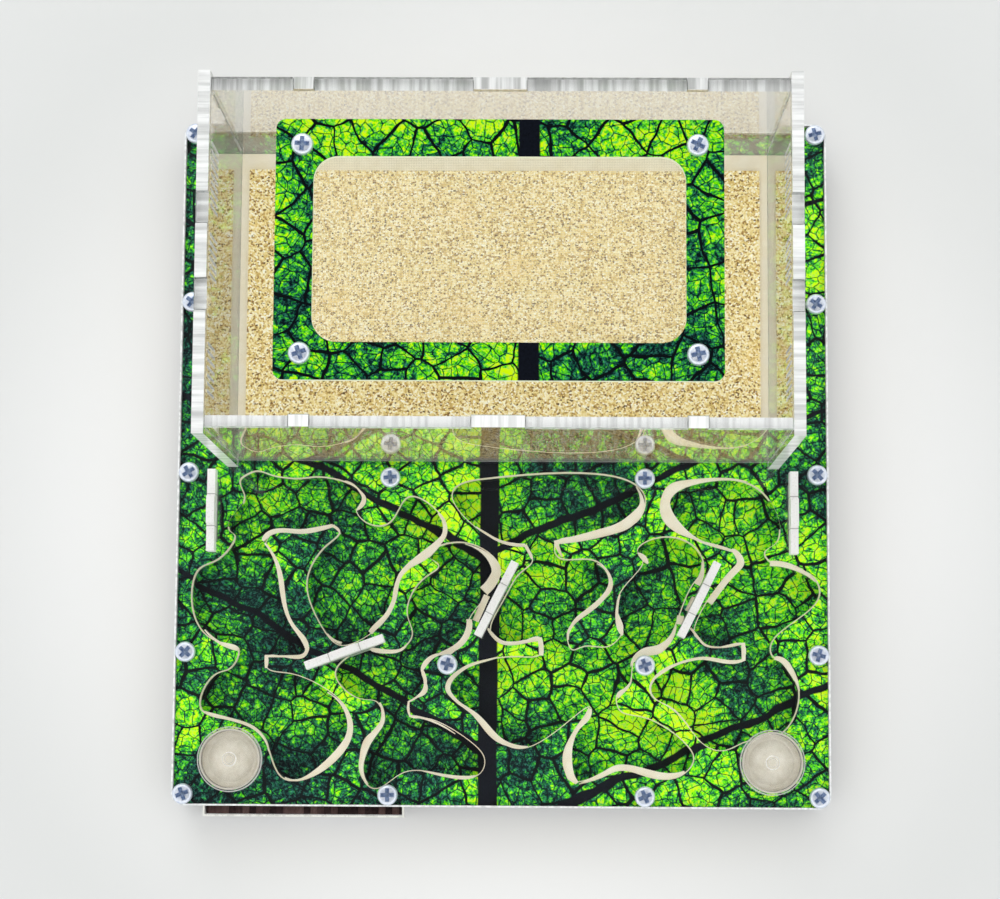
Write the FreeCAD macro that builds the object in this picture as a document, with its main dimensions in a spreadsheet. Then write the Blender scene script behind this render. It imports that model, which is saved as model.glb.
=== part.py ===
"""Ant habitat: a plate nest with carved chambers and a clear arena standing on its back half.

Millimetres, +Z up. The origin is at the bottom centre of the whole object, the nest's front edge
looks along -Y, and the arena stands at the back.
"""
import FreeCAD, Part
import math
import os

doc = FreeCAD.newDocument("ant_habitat")

# ---------------------------------------------------------------------------
# Driving dimensions
# ---------------------------------------------------------------------------

SIZES = {
    # nest plates
    "plate_width": 180.0,
    "nest_depth": 93.0,
    "arena_depth": 92.4,
    "back_margin": 5.0,
    "corner_radius": 3.5,
    "base_thickness": 2.5,
    "bay_height": 7.0,
    "floor_thickness": 3.0,
    "core_thickness": 7.0,
    "print_thickness": 0.5,
    "cover_thickness": 3.0,
    "window_ledge": 0.25,
    # screws
    "screw_inset": 3.2,
    "screw_length": 12.0,
    "shank_radius": 1.5,
    "shank_clearance": 0.05,
    "head_radius": 2.8,
    "head_height": 1.9,
    "recess_width": 0.7,
    "recess_length": 2.8,
    "recess_depth": 1.1,
    # gates
    "gate_thickness": 2.2,
    "gate_blade_length": 16.0,
    "gate_head_length": 22.6,
    "gate_head_height": 5.0,
    "gate_grip_length": 7.5,
    "gate_grip_height": 1.5,
    "gate_clearance": 0.1,
    "port_radius": 2.6,
    "port_passage_width": 8.0,
    # hydration wells, discs and plugs
    "well_radius": 8.2,
    "well_clearance": 0.2,
    "disc_height": 6.5,
    "plug_rim_radius": 8.9,
    "plug_rim_height": 1.5,
    "knob_radius": 1.9,
    "knob_height": 0.8,
    # water tray
    "tray_margin": 6.8,
    "tray_width": 56.0,
    "tray_depth": 55.0,
    "tray_reach": 3.2,
    "tray_wall": 0.5,
    "tray_clearance": 0.2,
    "pad_height": 4.0,
    # arena walls
    "side_margin": 13.8,
    "arena_height": 75.0,
    "wall_thickness": 3.0,
    "wall_inset": 1.8,
    "joint_clearance": 0.05,
    "wall_tab_height": 12.0,
    "vent_width": 0.8,
    "vent_pitch": 2.0,
    "vent_height": 14.0,
    "vent_drop": 4.0,
    # arena floor and sand
    "arena_floor_thickness": 3.0,
    "sand_thickness": 1.0,
    "sand_clearance": 0.3,
    "sand_side_strip": 2.2,
    "sand_back_strip": 4.6,
    # lid
    "lid_thickness": 3.0,
    "lid_clearance": 0.15,
    "lid_tab_length": 8.0,
    "lid_tab_spread": 22.0,
    "middle_finger_length": 13.3,
    "outer_finger_length": 5.0,
    "outer_finger_spread": 99.2,
    "frame_width": 112.0,
    "frame_depth": 66.0,
    "frame_border": 9.5,
    "frame_thickness": 2.0,
    "frame_corner_radius": 2.5,
    "window_corner_radius": 6.2,
    "window_relief": 1.0,
    "mesh_thickness": 0.3,
    "mesh_margin": 1.0,
    "lid_screw_inset": 6.6,
    "lid_screw_length": 5.0,
}

sheet = doc.addObject("Spreadsheet::Sheet", "sizes")
for row, (alias, number) in enumerate(SIZES.items(), start=1):
    sheet.set(f"A{row}", alias)
    sheet.set(f"B{row}", str(number))
    sheet.setAlias(f"B{row}", alias)
doc.recompute()

# ---------------------------------------------------------------------------
# Levels and places, as expressions of the sheet's cells
# ---------------------------------------------------------------------------

TRAY_FRAME_Z = "sizes.base_thickness"
FLOOR_Z = f"({TRAY_FRAME_Z} + sizes.bay_height)"
CORE_Z = f"({FLOOR_Z} + sizes.floor_thickness)"
PRINT_Z = f"({CORE_Z} + sizes.core_thickness)"
COVER_Z = f"({PRINT_Z} + sizes.print_thickness)"
NEST_TOP = f"({COVER_Z} + sizes.cover_thickness)"
RIM_Z = f"({NEST_TOP} + sizes.arena_height)"
LID_Z = f"({RIM_Z} - sizes.lid_thickness)"
MESH_Z = RIM_Z
FRAME_Z = f"({MESH_Z} + sizes.mesh_thickness)"
FRAME_TOP = f"({FRAME_Z} + sizes.frame_thickness)"

PLATE_DEPTH = "(sizes.nest_depth + sizes.arena_depth + sizes.back_margin)"
PLATE_LEFT = "(-sizes.plate_width / 2)"
PLATE_FRONT = f"((sizes.tray_reach - {PLATE_DEPTH}) / 2)"
PLATE_BACK = f"({PLATE_FRONT} + {PLATE_DEPTH})"
ARENA_FRONT = f"({PLATE_FRONT} + sizes.nest_depth)"
ARENA_BACK = f"({ARENA_FRONT} + sizes.arena_depth)"
ARENA_MIDDLE = f"({ARENA_FRONT} + sizes.arena_depth / 2)"
ARENA_HALF = "(sizes.plate_width / 2 - sizes.side_margin)"
ARENA_INNER_HALF = f"({ARENA_HALF} - sizes.wall_thickness)"
FRONT_WALL_Y = f"({ARENA_FRONT} + sizes.wall_inset)"
BACK_WALL_Y = f"({ARENA_BACK} - sizes.wall_inset - sizes.wall_thickness)"

# The chambers are drawn on a nest field of this size, x from its middle and y from its front edge.
DRAWN_WIDTH = 180.0
DRAWN_DEPTH = 93.0


def across(x):
    """The place across the nest of a drawn x."""
    return f"({x} * sizes.plate_width / {DRAWN_WIDTH})"


def along(y):
    """The place along the nest of a drawn y."""
    return f"({PLATE_FRONT} + {y} * sizes.nest_depth / {DRAWN_DEPTH})"


def value(expression):
    """The number that an expression of the sheet's cells comes to."""
    return float(sheet.evalExpression(expression))


# ---------------------------------------------------------------------------
# Small builders: every size and place is an expression
# ---------------------------------------------------------------------------

BASE = ("Placement.Base.x", "Placement.Base.y", "Placement.Base.z")
sub_parts = []


def bind(thing, names, expressions):
    """Bind a feature's properties to expressions, in order."""
    for name, expression in zip(names, expressions):
        thing.setExpression(name, expression)


def block(name, size, corner):
    """A box of three sizes with its lowest corner at a place."""
    box = doc.addObject("Part::Box", name)
    bind(box, ("Length", "Width", "Height"), size)
    bind(box, BASE, corner)
    return box


def turned_block(name, size, centre, degrees):
    """A box whose bottom face is centred on a place and turned about Z."""
    length, width, height = size
    cosine = f"cos({degrees} deg)"
    sine = f"sin({degrees} deg)"
    corner = (
        f"{centre[0]} - ({length}) / 2 * {cosine} + ({width}) / 2 * {sine}",
        f"{centre[1]} - ({length}) / 2 * {sine} - ({width}) / 2 * {cosine}",
        centre[2],
    )
    box = block(name, (length, width, height), corner)
    box.Placement.Rotation = FreeCAD.Rotation(FreeCAD.Vector(0, 0, 1), degrees)
    return box


def rod(name, radius, height, centre):
    """An upright cylinder standing on a place."""
    cylinder = doc.addObject("Part::Cylinder", name)
    bind(cylinder, ("Radius", "Height"), (radius, height))
    bind(cylinder, BASE, centre)
    return cylinder


def rounded(name, base, radius):
    """A block with its four upright edges rounded."""
    doc.recompute()
    fillet = doc.addObject("Part::Fillet", name)
    fillet.Base = base
    edges = []
    for number, edge in enumerate(base.Shape.Edges, start=1):
        start, end = edge.Vertexes[0].Point, edge.Vertexes[1].Point
        if abs(start.z - end.z) > edge.Length / 2:
            edges.append((number, value(radius), value(radius)))
    fillet.Edges = edges
    return fillet


def fuse(name, pieces):
    """Pieces fused into one shape."""
    joined = doc.addObject("Part::MultiFuse", name)
    joined.Shapes = pieces
    joined.Refine = True
    return joined


def cut(name, base, tool):
    """A shape with a tool taken out of it."""
    result = doc.addObject("Part::Cut", name)
    result.Base = base
    result.Tool = tool
    return result


def group(name, pieces):
    """Separate solids kept side by side in one node."""
    compound = doc.addObject("Part::Compound", name)
    compound.Links = pieces
    return compound


def sub_part(label, feature):
    """Name a finished piece, which becomes a node of its own."""
    feature.Label = label
    sub_parts.append(feature)
    return feature


# ---------------------------------------------------------------------------
# Chamber outlines: closed splines through these points, in drawn millimetres
# ---------------------------------------------------------------------------

ZONES = {
    "left": [
        (-72, 90.5), (-67.5, 92), (-64.5, 91), (-56.5, 90), (-51, 90.5), (-40, 87), (-39, 83),
        (-40.5, 81.5), (-38, 78), (-31, 78), (-26, 85), (-17.5, 80.5), (-16.5, 75), (-28, 64.5),
        (-30.5, 55), (-33.5, 49.5), (-43.5, 44), (-48.5, 47.5), (-53.5, 58), (-53, 65),
        (-48.5, 71.5), (-45, 75), (-46.5, 77), (-56, 75), (-62, 76), (-65.5, 72), (-64, 70),
        (-60.5, 57.5), (-57, 49), (-53.5, 44.5), (-55, 40.5), (-64.5, 41), (-64.5, 37.5),
        (-58, 36), (-44.5, 29), (-41.5, 22), (-48, 12.5), (-56.5, 7), (-61, 9), (-65, 18.5),
        (-72, 23), (-82.5, 26.5), (-79, 35.5), (-74.5, 37.5), (-72.5, 43), (-78.5, 45),
        (-85, 52.5), (-84, 64.5), (-78.5, 67.5), (-74, 74), (-75.5, 75.5), (-75, 79), (-71.5, 85),
    ],
    "inner_left": [
        (-36.5, 43), (-34.5, 42), (-28.5, 42.5), (-24.5, 47), (-26, 53), (-22, 62), (-17.5, 65.5),
        (-18, 67), (-20.5, 69), (-11.5, 72.5), (-1, 66.5), (-2, 61), (-9, 51.5), (-9.5, 48.5),
        (-14.5, 41.5), (-17.5, 41.5), (-22, 37), (-20.5, 33), (-21.5, 30.5), (-25.5, 28.5),
        (-25, 24.5), (-20.5, 24), (-7.5, 17), (-4.5, 12.5), (-7, 8.5), (-22.5, 10), (-29, 8),
        (-34, 5), (-37.5, 7.5), (-37, 18.5), (-32.5, 22.5), (-34, 28.5), (-39, 29.5),
        (-45.5, 35.5), (-42.5, 40.5),
    ],
    "inner_right": [
        (-6.5, 90), (-13.5, 84), (-0.5, 73), (6.5, 71.5), (8.5, 67.5), (5, 64), (0.5, 56.5),
        (-3, 48.5), (-0.5, 45), (5, 45), (10.5, 46.5), (11, 42), (5, 41), (-5.2, 39.8), (-12.4, 36.3),
        (-14.7, 32.1), (-11.2, 28), (-6.5, 24.4), (0.4, 17.7), (7.5, 16.5), (19.5, 24.5), (24.5, 27.5), (24.5, 24.5), (20.5, 20),
        (18.5, 8), (25.5, 8.5), (35.5, 11.5), (47, 8.5), (52.5, 12.5), (51, 17), (39.5, 24.5),
        (32.5, 26.5), (32, 31.5), (35, 33.5), (36.5, 41), (41, 43), (46, 46.5), (52, 60.5),
        (55.5, 66), (52.5, 72), (43, 74), (37.5, 70.5), (39, 67.5), (33.5, 60), (32, 53.5),
        (33.5, 49), (29.5, 44), (23, 44), (19.5, 43), (18, 46), (19.5, 50.5), (30, 59.5),
        (28.5, 65.5), (23.5, 68), (15.5, 68.5), (15, 73), (24.5, 74.5), (33, 77), (37, 78.5),
        (39.5, 84.5), (33, 90.5),
    ],
    "right": [
        (44, 84.5), (51, 74.5), (64.5, 70), (64.5, 65.5), (59.5, 60.5), (53, 48), (54.5, 46),
        (58.5, 44), (66.5, 45), (66.5, 40.5), (63, 40), (53, 40.5), (42, 35.5), (41.5, 30.5),
        (47.5, 27), (55, 18), (61.5, 16), (67.5, 18.5), (76.5, 20.5), (81.5, 32.5), (77, 40.5),
        (74.5, 41.5), (74.5, 46), (86.5, 56.5), (86.5, 62.5), (81.5, 65.5), (74, 67.5),
        (72.5, 70.5), (76, 73.5), (71, 87.5), (51.5, 90),
    ],
}

# Ledges of the chamber plate that the printed sheet leaves bare: middle line and width.
LEDGES = [
    [(-43.8, 89.5, 0.2), (-41, 88.2, 0.3), (-39.5, 86.5, 0.6), (-38.5, 85, 1.1), (-38.5, 83.7, 1.4),
     (-39.3, 82.4, 1.2), (-40.4, 81.3, 0.4)],
    [(-66.4, 72.8, 0.7), (-65, 74.4, 1.5), (-62.7, 75.4, 1.4), (-56.1, 75.3, 1.4), (-50.6, 76.1, 1.4),
     (-47, 77, 1)],
    [(-47, 77, 1), (-45.9, 76.2, 0.6), (-44.9, 74.8, 0.3)],
    [(-65.8, 72.1, 0.5), (-63.5, 69, 0.8), (-61.9, 65.4, 1.2), (-61.1, 61.9, 1.5), (-60.5, 57.8, 1.4),
     (-59.6, 53.6, 1.1), (-57.6, 49.3, 1), (-55.2, 46.2, 1.2), (-53.6, 43.4, 1.4)],
    [(-53.6, 43.6, 1.4), (-54.2, 41.5, 1), (-58.3, 40.8, 0.7), (-61.1, 40.8, 0.6), (-65.2, 40.8, 0.8)],
    [(-64.8, 41, 1), (-64.7, 39.4, 1.2), (-64.8, 37.6, 0.7)],
    [(-48.1, 47.1, 0.3), (-46.3, 45.4, 0.6), (-44.2, 44.5, 0.8)],
    [(-17.7, 80.6, 0.6), (-16, 77.7, 1.1), (-16, 74.8, 1.4), (-17.9, 72, 1.5), (-21.8, 68.1, 1.6),
     (-26.4, 65.3, 1.4), (-28.6, 62.1, 1.2), (-29.4, 57.9, 1.2), (-30.5, 54.5, 1.3), (-32.2, 51.7, 1.4),
     (-34.3, 49.6, 1.5), (-36.2, 47.4, 1.4)],
    [(-47.8, 31, 0.3), (-43.7, 27.6, 0.7), (-41.6, 23.5, 1.5), (-41.4, 20.8, 1.7), (-42.8, 16.7, 1.9),
     (-45.5, 13.2, 1.8), (-48.9, 10.1, 1.4), (-52.3, 8.1, 1), (-55.7, 7, 0.6), (-59.2, 7.7, 0.3)],
    [(-82.2, 25.7, 0.3), (-78, 24.4, 0.8), (-72.9, 23.1, 0.8), (-68.2, 21.3, 0.8), (-65.3, 18.7, 0.6),
     (-63.7, 14.8, 0.2)],
    [(-82, 48, 0.3), (-77.7, 44.4, 0.7), (-72.6, 42.6, 0.9)],
    [(-33.4, 28.3, 0.4), (-32.5, 25.6, 0.8), (-32.7, 22.9, 1.2), (-34.3, 20.5, 1.5), (-36.5, 17.4, 1.7),
     (-37.8, 14, 1.5), (-38.3, 10.6, 1.2), (-37.6, 7.8, 0.8), (-36.4, 6, 0.3)],
    [(-35.7, 42.8, 1), (-33.5, 42.6, 1), (-30.1, 42.3, 1), (-28, 42.7, 0.7), (-26.3, 43.8, 0.2)],
    [(-9, 51.3, 1.5), (-9.3, 47.7, 1.8), (-11.3, 44.6, 1.7), (-14.1, 42.7, 1.5), (-17, 41.7, 0.8)],
    [(-16.5, 41.7, 0.6), (-19, 40.9, 1.1), (-20.7, 39.4, 1.4), (-21.9, 37.2, 0.8)],
    [(-21.9, 37.3, 0.7), (-21, 34.9, 1), (-21, 32.7, 0.8), (-23, 30, 0.6), (-25.4, 28.6, 0.5)],
    [(-25.4, 28.7, 0.6), (-25.4, 26.3, 0.6), (-25, 24.6, 0.5)],
    [(-25.2, 24.7, 0.6), (-20.9, 24, 0.6), (-17, 22.5, 0.5), (-12.6, 19.9, 0.2)],
    [(-22.1, 9.9, 0.2), (-18, 9, 0.6), (-13.2, 8.2, 0.9), (-9.1, 8, 0.9), (-6.7, 8.5, 0.4)],
    [(-10.3, 72.2, 0.2), (-6.5, 70.7, 0.6), (-3.9, 68.8, 1.4), (-2.3, 66.7, 2.1), (-1.6, 64.6, 2.6),
     (-2.1, 62.8, 2.8), (-3.4, 60.7, 2.9), (-5, 59.1, 2.9)],
    [(-4.1, 57.9, 1.8), (-7.2, 50.8, 1.8)],
    [(-7.3, 76.9, 0.3), (-4.7, 75.2, 0.6), (-0.8, 73, 0.8), (4, 71.9, 1), (6.3, 71.8, 1)],
    [(6.3, 71.9, 1), (7.4, 70, 0.8), (8.2, 68, 0.4)],
    [(-1.1, 40.9, 0.3), (-5.2, 39.8, 0.6), (-9.3, 38.4, 0.8), (-12.4, 36.3, 1), (-14.3, 34.1, 1.3),
     (-14.7, 32.1, 1.3), (-13.6, 30.2, 1), (-11.2, 28, 0.8), (-7.9, 25.8, 1.1), (-5.1, 23, 1.7),
     (-2.5, 20, 1.8), (0.4, 17.8, 1.4), (3.9, 16.7, 0.8), (7.4, 16.5, 0.4)],
    [(-3.8, 48.8, 0.6), (-2.2, 46.7, 1), (-0.1, 45.1, 1.1), (3, 44.7, 1.1), (6.4, 45.2, 1),
     (10.3, 45.9, 1)],
    [(10.4, 46.4, 1.2), (10.9, 44, 1.4), (10.9, 41.5, 1.2)],
    [(24.4, 27, 1.2), (23.4, 24.7, 1.4), (21.1, 21.8, 1.2), (19.3, 18.4, 1.5), (18.3, 15, 2.4),
     (18.3, 11.6, 2.6), (19.1, 8.9, 2.1), (20.9, 6.7, 1)],
    [(21.4, 6.5, 0.3), (25.1, 7.8, 1), (28.5, 9.3, 1.4), (31.3, 10.7, 1.7), (35.4, 10.8, 1.8),
     (39.5, 9.7, 2.1), (43.6, 8.8, 2), (47.7, 8.9, 1.5), (50.3, 9.9, 0.8)],
    [(26.2, 66.9, 0.2), (29.1, 64.6, 0.6), (30, 62.1, 1), (29.1, 59.1, 1.2), (26.7, 56.2, 1.4),
     (23.3, 53.4, 1.4), (20.3, 51, 1.1), (18.7, 48.4, 0.6), (18.4, 45.8, 0.3)],
    [(14.4, 72.6, 1.1), (17.9, 73.2, 1.6), (22.9, 74.2, 2.1), (27.2, 75.3, 2.4), (30.8, 76.3, 2.5),
     (34.3, 77.9, 2.9), (37.1, 80.5, 2.5), (38.7, 83.3, 1.5), (38.3, 86, 0.7), (37.1, 88.3, 0.3)],
    [(14.9, 72.4, 1.2), (15.6, 70.7, 1), (16.6, 68.6, 0.4)],
    [(32.6, 58.3, 0.3), (31.7, 53.8, 0.8), (31.9, 50.9, 1.1), (32.7, 48.6, 1.5), (33.2, 47.1, 0.4)],
    [(48, 50, 0.3), (47.3, 47.8, 1), (45.5, 45.1, 1.7), (42.8, 43.2, 2.5), (40, 42.7, 2.4),
     (37.6, 41.6, 1.8), (36.1, 40, 0.9), (35.6, 38.6, 0.2)],
    [(35.8, 35.6, 0.2), (35.1, 33.5, 0.6), (33.5, 31.8, 1), (31.9, 30.1, 0.8)],
    [(55.2, 67.6, 0.2), (55.4, 65.8, 0.8), (54.9, 63.4, 1.4), (53.7, 61.2, 1.9)],
    [(53, 57.7, 1.4), (51.1, 53.8, 1.5)],
    [(49.3, 52.6, 1.8), (48.9, 50.2, 1.8)],
    [(37.4, 69.9, 0.3), (39.1, 68.5, 1.5), (40.3, 67, 0.4)],
    [(67.9, 89.7, 0.2), (63, 90.5, 0.5), (57.5, 90.3, 0.8), (52.7, 89.4, 1.1), (48.5, 88, 1.7),
     (46.1, 86.1, 2.2), (45.2, 84, 2.4), (45.9, 81.3, 2.2), (47.8, 78.6, 1.8), (50.6, 75.8, 1.3),
     (54.3, 73.4, 0.8), (58.8, 71.8, 0.7), (63.5, 70.6, 0.8)],
    [(63.4, 71, 0.8), (65.2, 69.2, 1.8), (65.8, 67.3, 2.1), (64.3, 65.2, 1.9), (61.9, 62.6, 1.8),
     (59.3, 59.2, 1.8), (57.2, 56.2, 1.8)],
    [(51.9, 49.2, 0.6), (54.1, 46.5, 0.7), (56, 44.6, 0.7), (58.7, 44, 0.5), (62.4, 44.2, 0.5),
     (66, 45, 0.6)],
    [(66.4, 45.3, 1.1), (66.5, 43, 1.2), (66.5, 40.4, 1.1)],
    [(66.8, 40.7, 0.7), (62.8, 40, 1), (59.2, 40.5, 1), (55.5, 41, 0.8), (51.9, 40.5, 0.7),
     (48.2, 39.3, 0.6), (44.5, 37.2, 0.6), (41.8, 35, 0.6), (40.9, 33.1, 0.6), (41.1, 31.3, 0.5),
     (42.7, 29.5, 0.3), (45.9, 27.7, 0.3), (50, 24.1, 0.4), (52.2, 21, 0.3)],
    [(74, 67.2, 1.4), (77.8, 66.9, 1.4), (81.2, 65.8, 1.2), (84.3, 64.1, 0.7), (86.5, 62.2, 0.2)],
    [(75.1, 41.2, 1), (77.9, 40, 1.5), (79.6, 37.6, 1.4), (81, 34.9, 0.8), (81.7, 32.1, 0.3)],
]

# An island or hole of the outlines smaller than this is left out, in square millimetres.
SPECK_AREA = 20.0

# Gates: drawn place of the middle and the turn of the blade in degrees.
GATES = {
    "gate_1": (-42.8, 41.9, 20),
    "gate_2": (-1.4, 56.6, 63.5),
    "gate_3": (54.0, 56.7, 63.5),
    "gate_4": (-80.0, 80.6, 90),
    "gate_5": (80.0, 80.6, 90),
}

# Wells of the hydration discs: drawn place of the middle.
WELLS = {"left": (-74.0, 12.6), "right": (74.0, 12.6)}

# How far the passage behind a side port reaches inward from its gate, drawn.
PASSAGE_REACH = 8.0

# Screws that stand inside the nest field: drawn places.
FIELD_SCREWS = [(-31.0, 90.2), (39.3, 90.2), (-14.8, 38.8), (39.3, 38.8)]
FRONT_SCREWS_X = (-30.8, 39.3)
SIDE_SCREWS_Y = (41.8, 91.4)


def drawn_point(x, y):
    """A drawn point at its real place, on the ground."""
    return FreeCAD.Vector(value(across(x)), value(along(y)), 0)


def closed_face(points):
    """A flat face inside a smooth closed curve through the points."""
    steps = [math.sqrt(a.distanceToPoint(b)) for a, b in zip(points, points[1:] + points[:1])]
    parameters = [sum(steps[:index]) for index in range(len(steps) + 1)]
    curve = Part.BSplineCurve()
    curve.interpolate(Points=points, PeriodicFlag=True, Parameters=parameters)
    return Part.Face(Part.Wire([span.toShape() for span in curve.toBezier()]))


def normals(points, closed):
    """The left-hand unit normal of a line of points at each point."""
    count = len(points)
    result = []
    for index in range(count):
        before = points[index - 1] if closed or index > 0 else points[index]
        after = points[(index + 1) % count] if closed or index < count - 1 else points[index]
        along_line = after - before
        result.append(FreeCAD.Vector(-along_line.y, along_line.x, 0).normalize())
    return result


def zone_face(points, growth):
    """A chamber zone, grown outward by a small amount."""
    middle = [drawn_point(x, y) for x, y in points]
    area = sum(a.x * b.y - b.x * a.y for a, b in zip(middle, middle[1:] + middle[:1]))
    outward = -growth if area > 0 else growth
    return closed_face([p + n * outward for p, n in zip(middle, normals(middle, True))])


def open_curve(points):
    """A smooth open curve through the points."""
    curve = Part.BSplineCurve()
    curve.interpolate(Points=points)
    return curve.toShape()


def ledge_face(line):
    """A long curved ledge about its middle line, cut off straight at both ends."""
    middle = [drawn_point(x, y) for x, y, _ in line]
    sides = normals(middle, False)
    left = [p + n * (w / 2) for p, n, (_, _, w) in zip(middle, sides, line)]
    right = [p - n * (w / 2) for p, n, (_, _, w) in zip(middle, sides, line)]
    first_end = Part.makeLine(right[0], left[0])
    last_end = Part.makeLine(left[-1], right[-1])
    return Part.Face(Part.Wire([open_curve(left), last_end, open_curve(right[::-1]), first_end]))


def raised(faces, height):
    """Faces pushed up into solids and joined."""
    solids = [face.extrude(FreeCAD.Vector(0, 0, height)) for face in faces]
    return solids[0].multiFuse(solids[1:])


def without_specks(prisms, height):
    """The same prisms, less each island and each hole too small to be cut by a tool."""
    faces = []
    for solid in prisms.removeSplitter().Solids:
        top = max(solid.Faces, key=lambda face: face.CenterOfMass.z)
        outer = top.OuterWire
        holes = [wire for wire in top.Wires if not wire.isSame(outer)]
        kept = [wire for wire in holes if Part.Face(wire).Area > SPECK_AREA]
        if Part.Face(outer).Area > SPECK_AREA:
            faces.append(Part.Face([outer] + kept))
    return raised([face.translated(FreeCAD.Vector(0, 0, -height)) for face in faces], height)


# ---------------------------------------------------------------------------
# Tools shared by the nest's plates: screw holes, gate slots, wells
# ---------------------------------------------------------------------------

def screw_places():
    """Where the nest's sixteen screws stand."""
    edge = "(sizes.plate_width / 2 - sizes.screw_inset)"
    front_row = f"({PLATE_FRONT} + sizes.screw_inset)"
    back_row = f"({PLATE_BACK} - sizes.screw_inset)"
    rows = [front_row, along(SIDE_SCREWS_Y[0]), along(SIDE_SCREWS_Y[1]), ARENA_MIDDLE, back_row]
    places = [(f"{side}{edge}", row) for side in ("-", "") for row in rows]
    places += [(across(x), along(y)) for x, y in FIELD_SCREWS]
    places += [(across(x), front_row) for x in FRONT_SCREWS_X]
    return places


SCREW_HOLE = "(sizes.shank_radius + sizes.shank_clearance)"
screw_holes = fuse("screw_holes", [
    rod(f"screw_hole_{number}", SCREW_HOLE, f"{NEST_TOP} - {FLOOR_Z}", (x, y, FLOOR_Z))
    for number, (x, y) in enumerate(screw_places(), start=1)
])

SLOT_LENGTH = "(sizes.gate_blade_length + 2 * sizes.gate_clearance)"
SLOT_WIDTH = "(sizes.gate_thickness + 2 * sizes.gate_clearance)"
cover_slots = fuse("cover_slots", [
    turned_block(
        f"{name}_slot",
        (SLOT_LENGTH, SLOT_WIDTH, "sizes.cover_thickness"),
        (across(x), along(y), COVER_Z),
        turn,
    )
    for name, (x, y, turn) in GATES.items()
])


def slot_face(x, y, turn):
    """The flat outline of a gate's slot."""
    length = value(SLOT_LENGTH)
    width = value(SLOT_WIDTH)
    face = Part.makePlane(length, width, FreeCAD.Vector(-length / 2, -width / 2, 0))
    face.Placement = FreeCAD.Placement(
        drawn_point(x, y), FreeCAD.Rotation(FreeCAD.Vector(0, 0, 1), turn)
    )
    return face


wells = fuse("wells", [
    rod(f"well_{side}", "sizes.well_radius", f"{NEST_TOP} - {CORE_Z}", (across(x), along(y), CORE_Z))
    for side, (x, y) in WELLS.items()
])

nest_holes = fuse("nest_holes", [screw_holes, wells])


def nest_plate(name, thickness, bottom):
    """A plate of the nest's full outline with rounded corners."""
    size = ("sizes.plate_width", PLATE_DEPTH, thickness)
    flat = block(f"{name}_block", size, (PLATE_LEFT, PLATE_FRONT, bottom))
    return rounded(f"{name}_outline", flat, "sizes.corner_radius")


# ---------------------------------------------------------------------------
# Nest: base, tray bay, printed floor, chambers, printed sheet, cover
# ---------------------------------------------------------------------------

base_outline = nest_plate("base", "sizes.base_thickness", "0")
sub_part("base_plate", base_outline)

BAY_X = f"({PLATE_LEFT} + sizes.tray_margin)"
BAY_WIDTH = "(sizes.tray_width + 2 * sizes.tray_clearance)"
bay_outline = nest_plate("tray_frame", "sizes.bay_height", TRAY_FRAME_Z)
tray_bay = block(
    "tray_bay",
    (BAY_WIDTH, "sizes.tray_depth + sizes.tray_clearance", "sizes.bay_height"),
    (BAY_X, PLATE_FRONT, TRAY_FRAME_Z),
)
sub_part("tray_frame", cut("tray_frame", bay_outline, tray_bay))

floor_outline = nest_plate("floor", "sizes.floor_thickness", FLOOR_Z)
sub_part("floor_plate", cut("floor_plate", floor_outline, screw_holes))


def side_port(side, sign):
    """A round tube port in one side of the chamber plate and the passage behind its gate."""
    x, y, _ = GATES["gate_4" if sign < 0 else "gate_5"]
    bore = rod(
        f"port_bore_{side}",
        "sizes.port_radius",
        f"sizes.plate_width / 2 - abs({across(x)})",
        (across(x), along(y), f"{CORE_Z} + sizes.core_thickness / 2"),
    )
    bore.Placement.Rotation = FreeCAD.Rotation(FreeCAD.Vector(0, 1, 0), 90 * sign)
    reach = across(PASSAGE_REACH)
    passage = block(
        f"port_passage_{side}",
        (reach, "sizes.port_passage_width", "sizes.core_thickness"),
        (
            across(x) if sign < 0 else f"{across(x)} - {reach}",
            f"{along(y)} - sizes.port_passage_width / 2",
            CORE_Z,
        ),
    )
    return [bore, passage]


def nest_core():
    """The cream chamber plate: zones less their ledges, slots, wells and side ports."""
    chambers = doc.addObject("Part::Feature", "chambers")
    depth = value("sizes.core_thickness")
    zones = raised([zone_face(points, 0) for points in ZONES.values()], depth)
    ledges = raised([ledge_face(line) for line in LEDGES], depth)
    slots = raised([slot_face(*gate) for gate in GATES.values()], depth)
    chambers.Shape = without_specks(zones.cut(ledges).fuse(slots), depth)
    chambers.setExpression(BASE[2], CORE_Z)
    ports = side_port("left", -1) + side_port("right", 1)
    hollows = fuse("core_hollows", [nest_holes, chambers] + ports)
    outline = nest_plate("core", "sizes.core_thickness", CORE_Z)
    return cut("nest_core", outline, hollows)


def print_sheet():
    """The printed sheet with windows over the chambers and their ledges."""
    windows = doc.addObject("Part::Feature", "windows")
    depth = value("sizes.print_thickness")
    ledge = value("sizes.window_ledge")
    zones = [zone_face(points, ledge) for points in ZONES.values()]
    ledges = [ledge_face(line) for line in LEDGES]
    slots = [slot_face(*gate) for gate in GATES.values()]
    windows.Shape = without_specks(raised(zones + ledges + slots, depth), depth)
    windows.setExpression(BASE[2], PRINT_Z)
    hollows = fuse("sheet_hollows", [nest_holes, windows])
    outline = nest_plate("print", "sizes.print_thickness", PRINT_Z)
    return cut("print_sheet", outline, hollows)


sub_part("nest_core", nest_core())
sub_part("print_sheet", print_sheet())
cover_outline = nest_plate("cover", "sizes.cover_thickness", COVER_Z)
cover_openings = fuse("cover_openings", [nest_holes, cover_slots])
sub_part("cover_plate", cut("cover_plate", cover_outline, cover_openings))


# ---------------------------------------------------------------------------
# Screws, gates, plugs and discs
# ---------------------------------------------------------------------------

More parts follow.
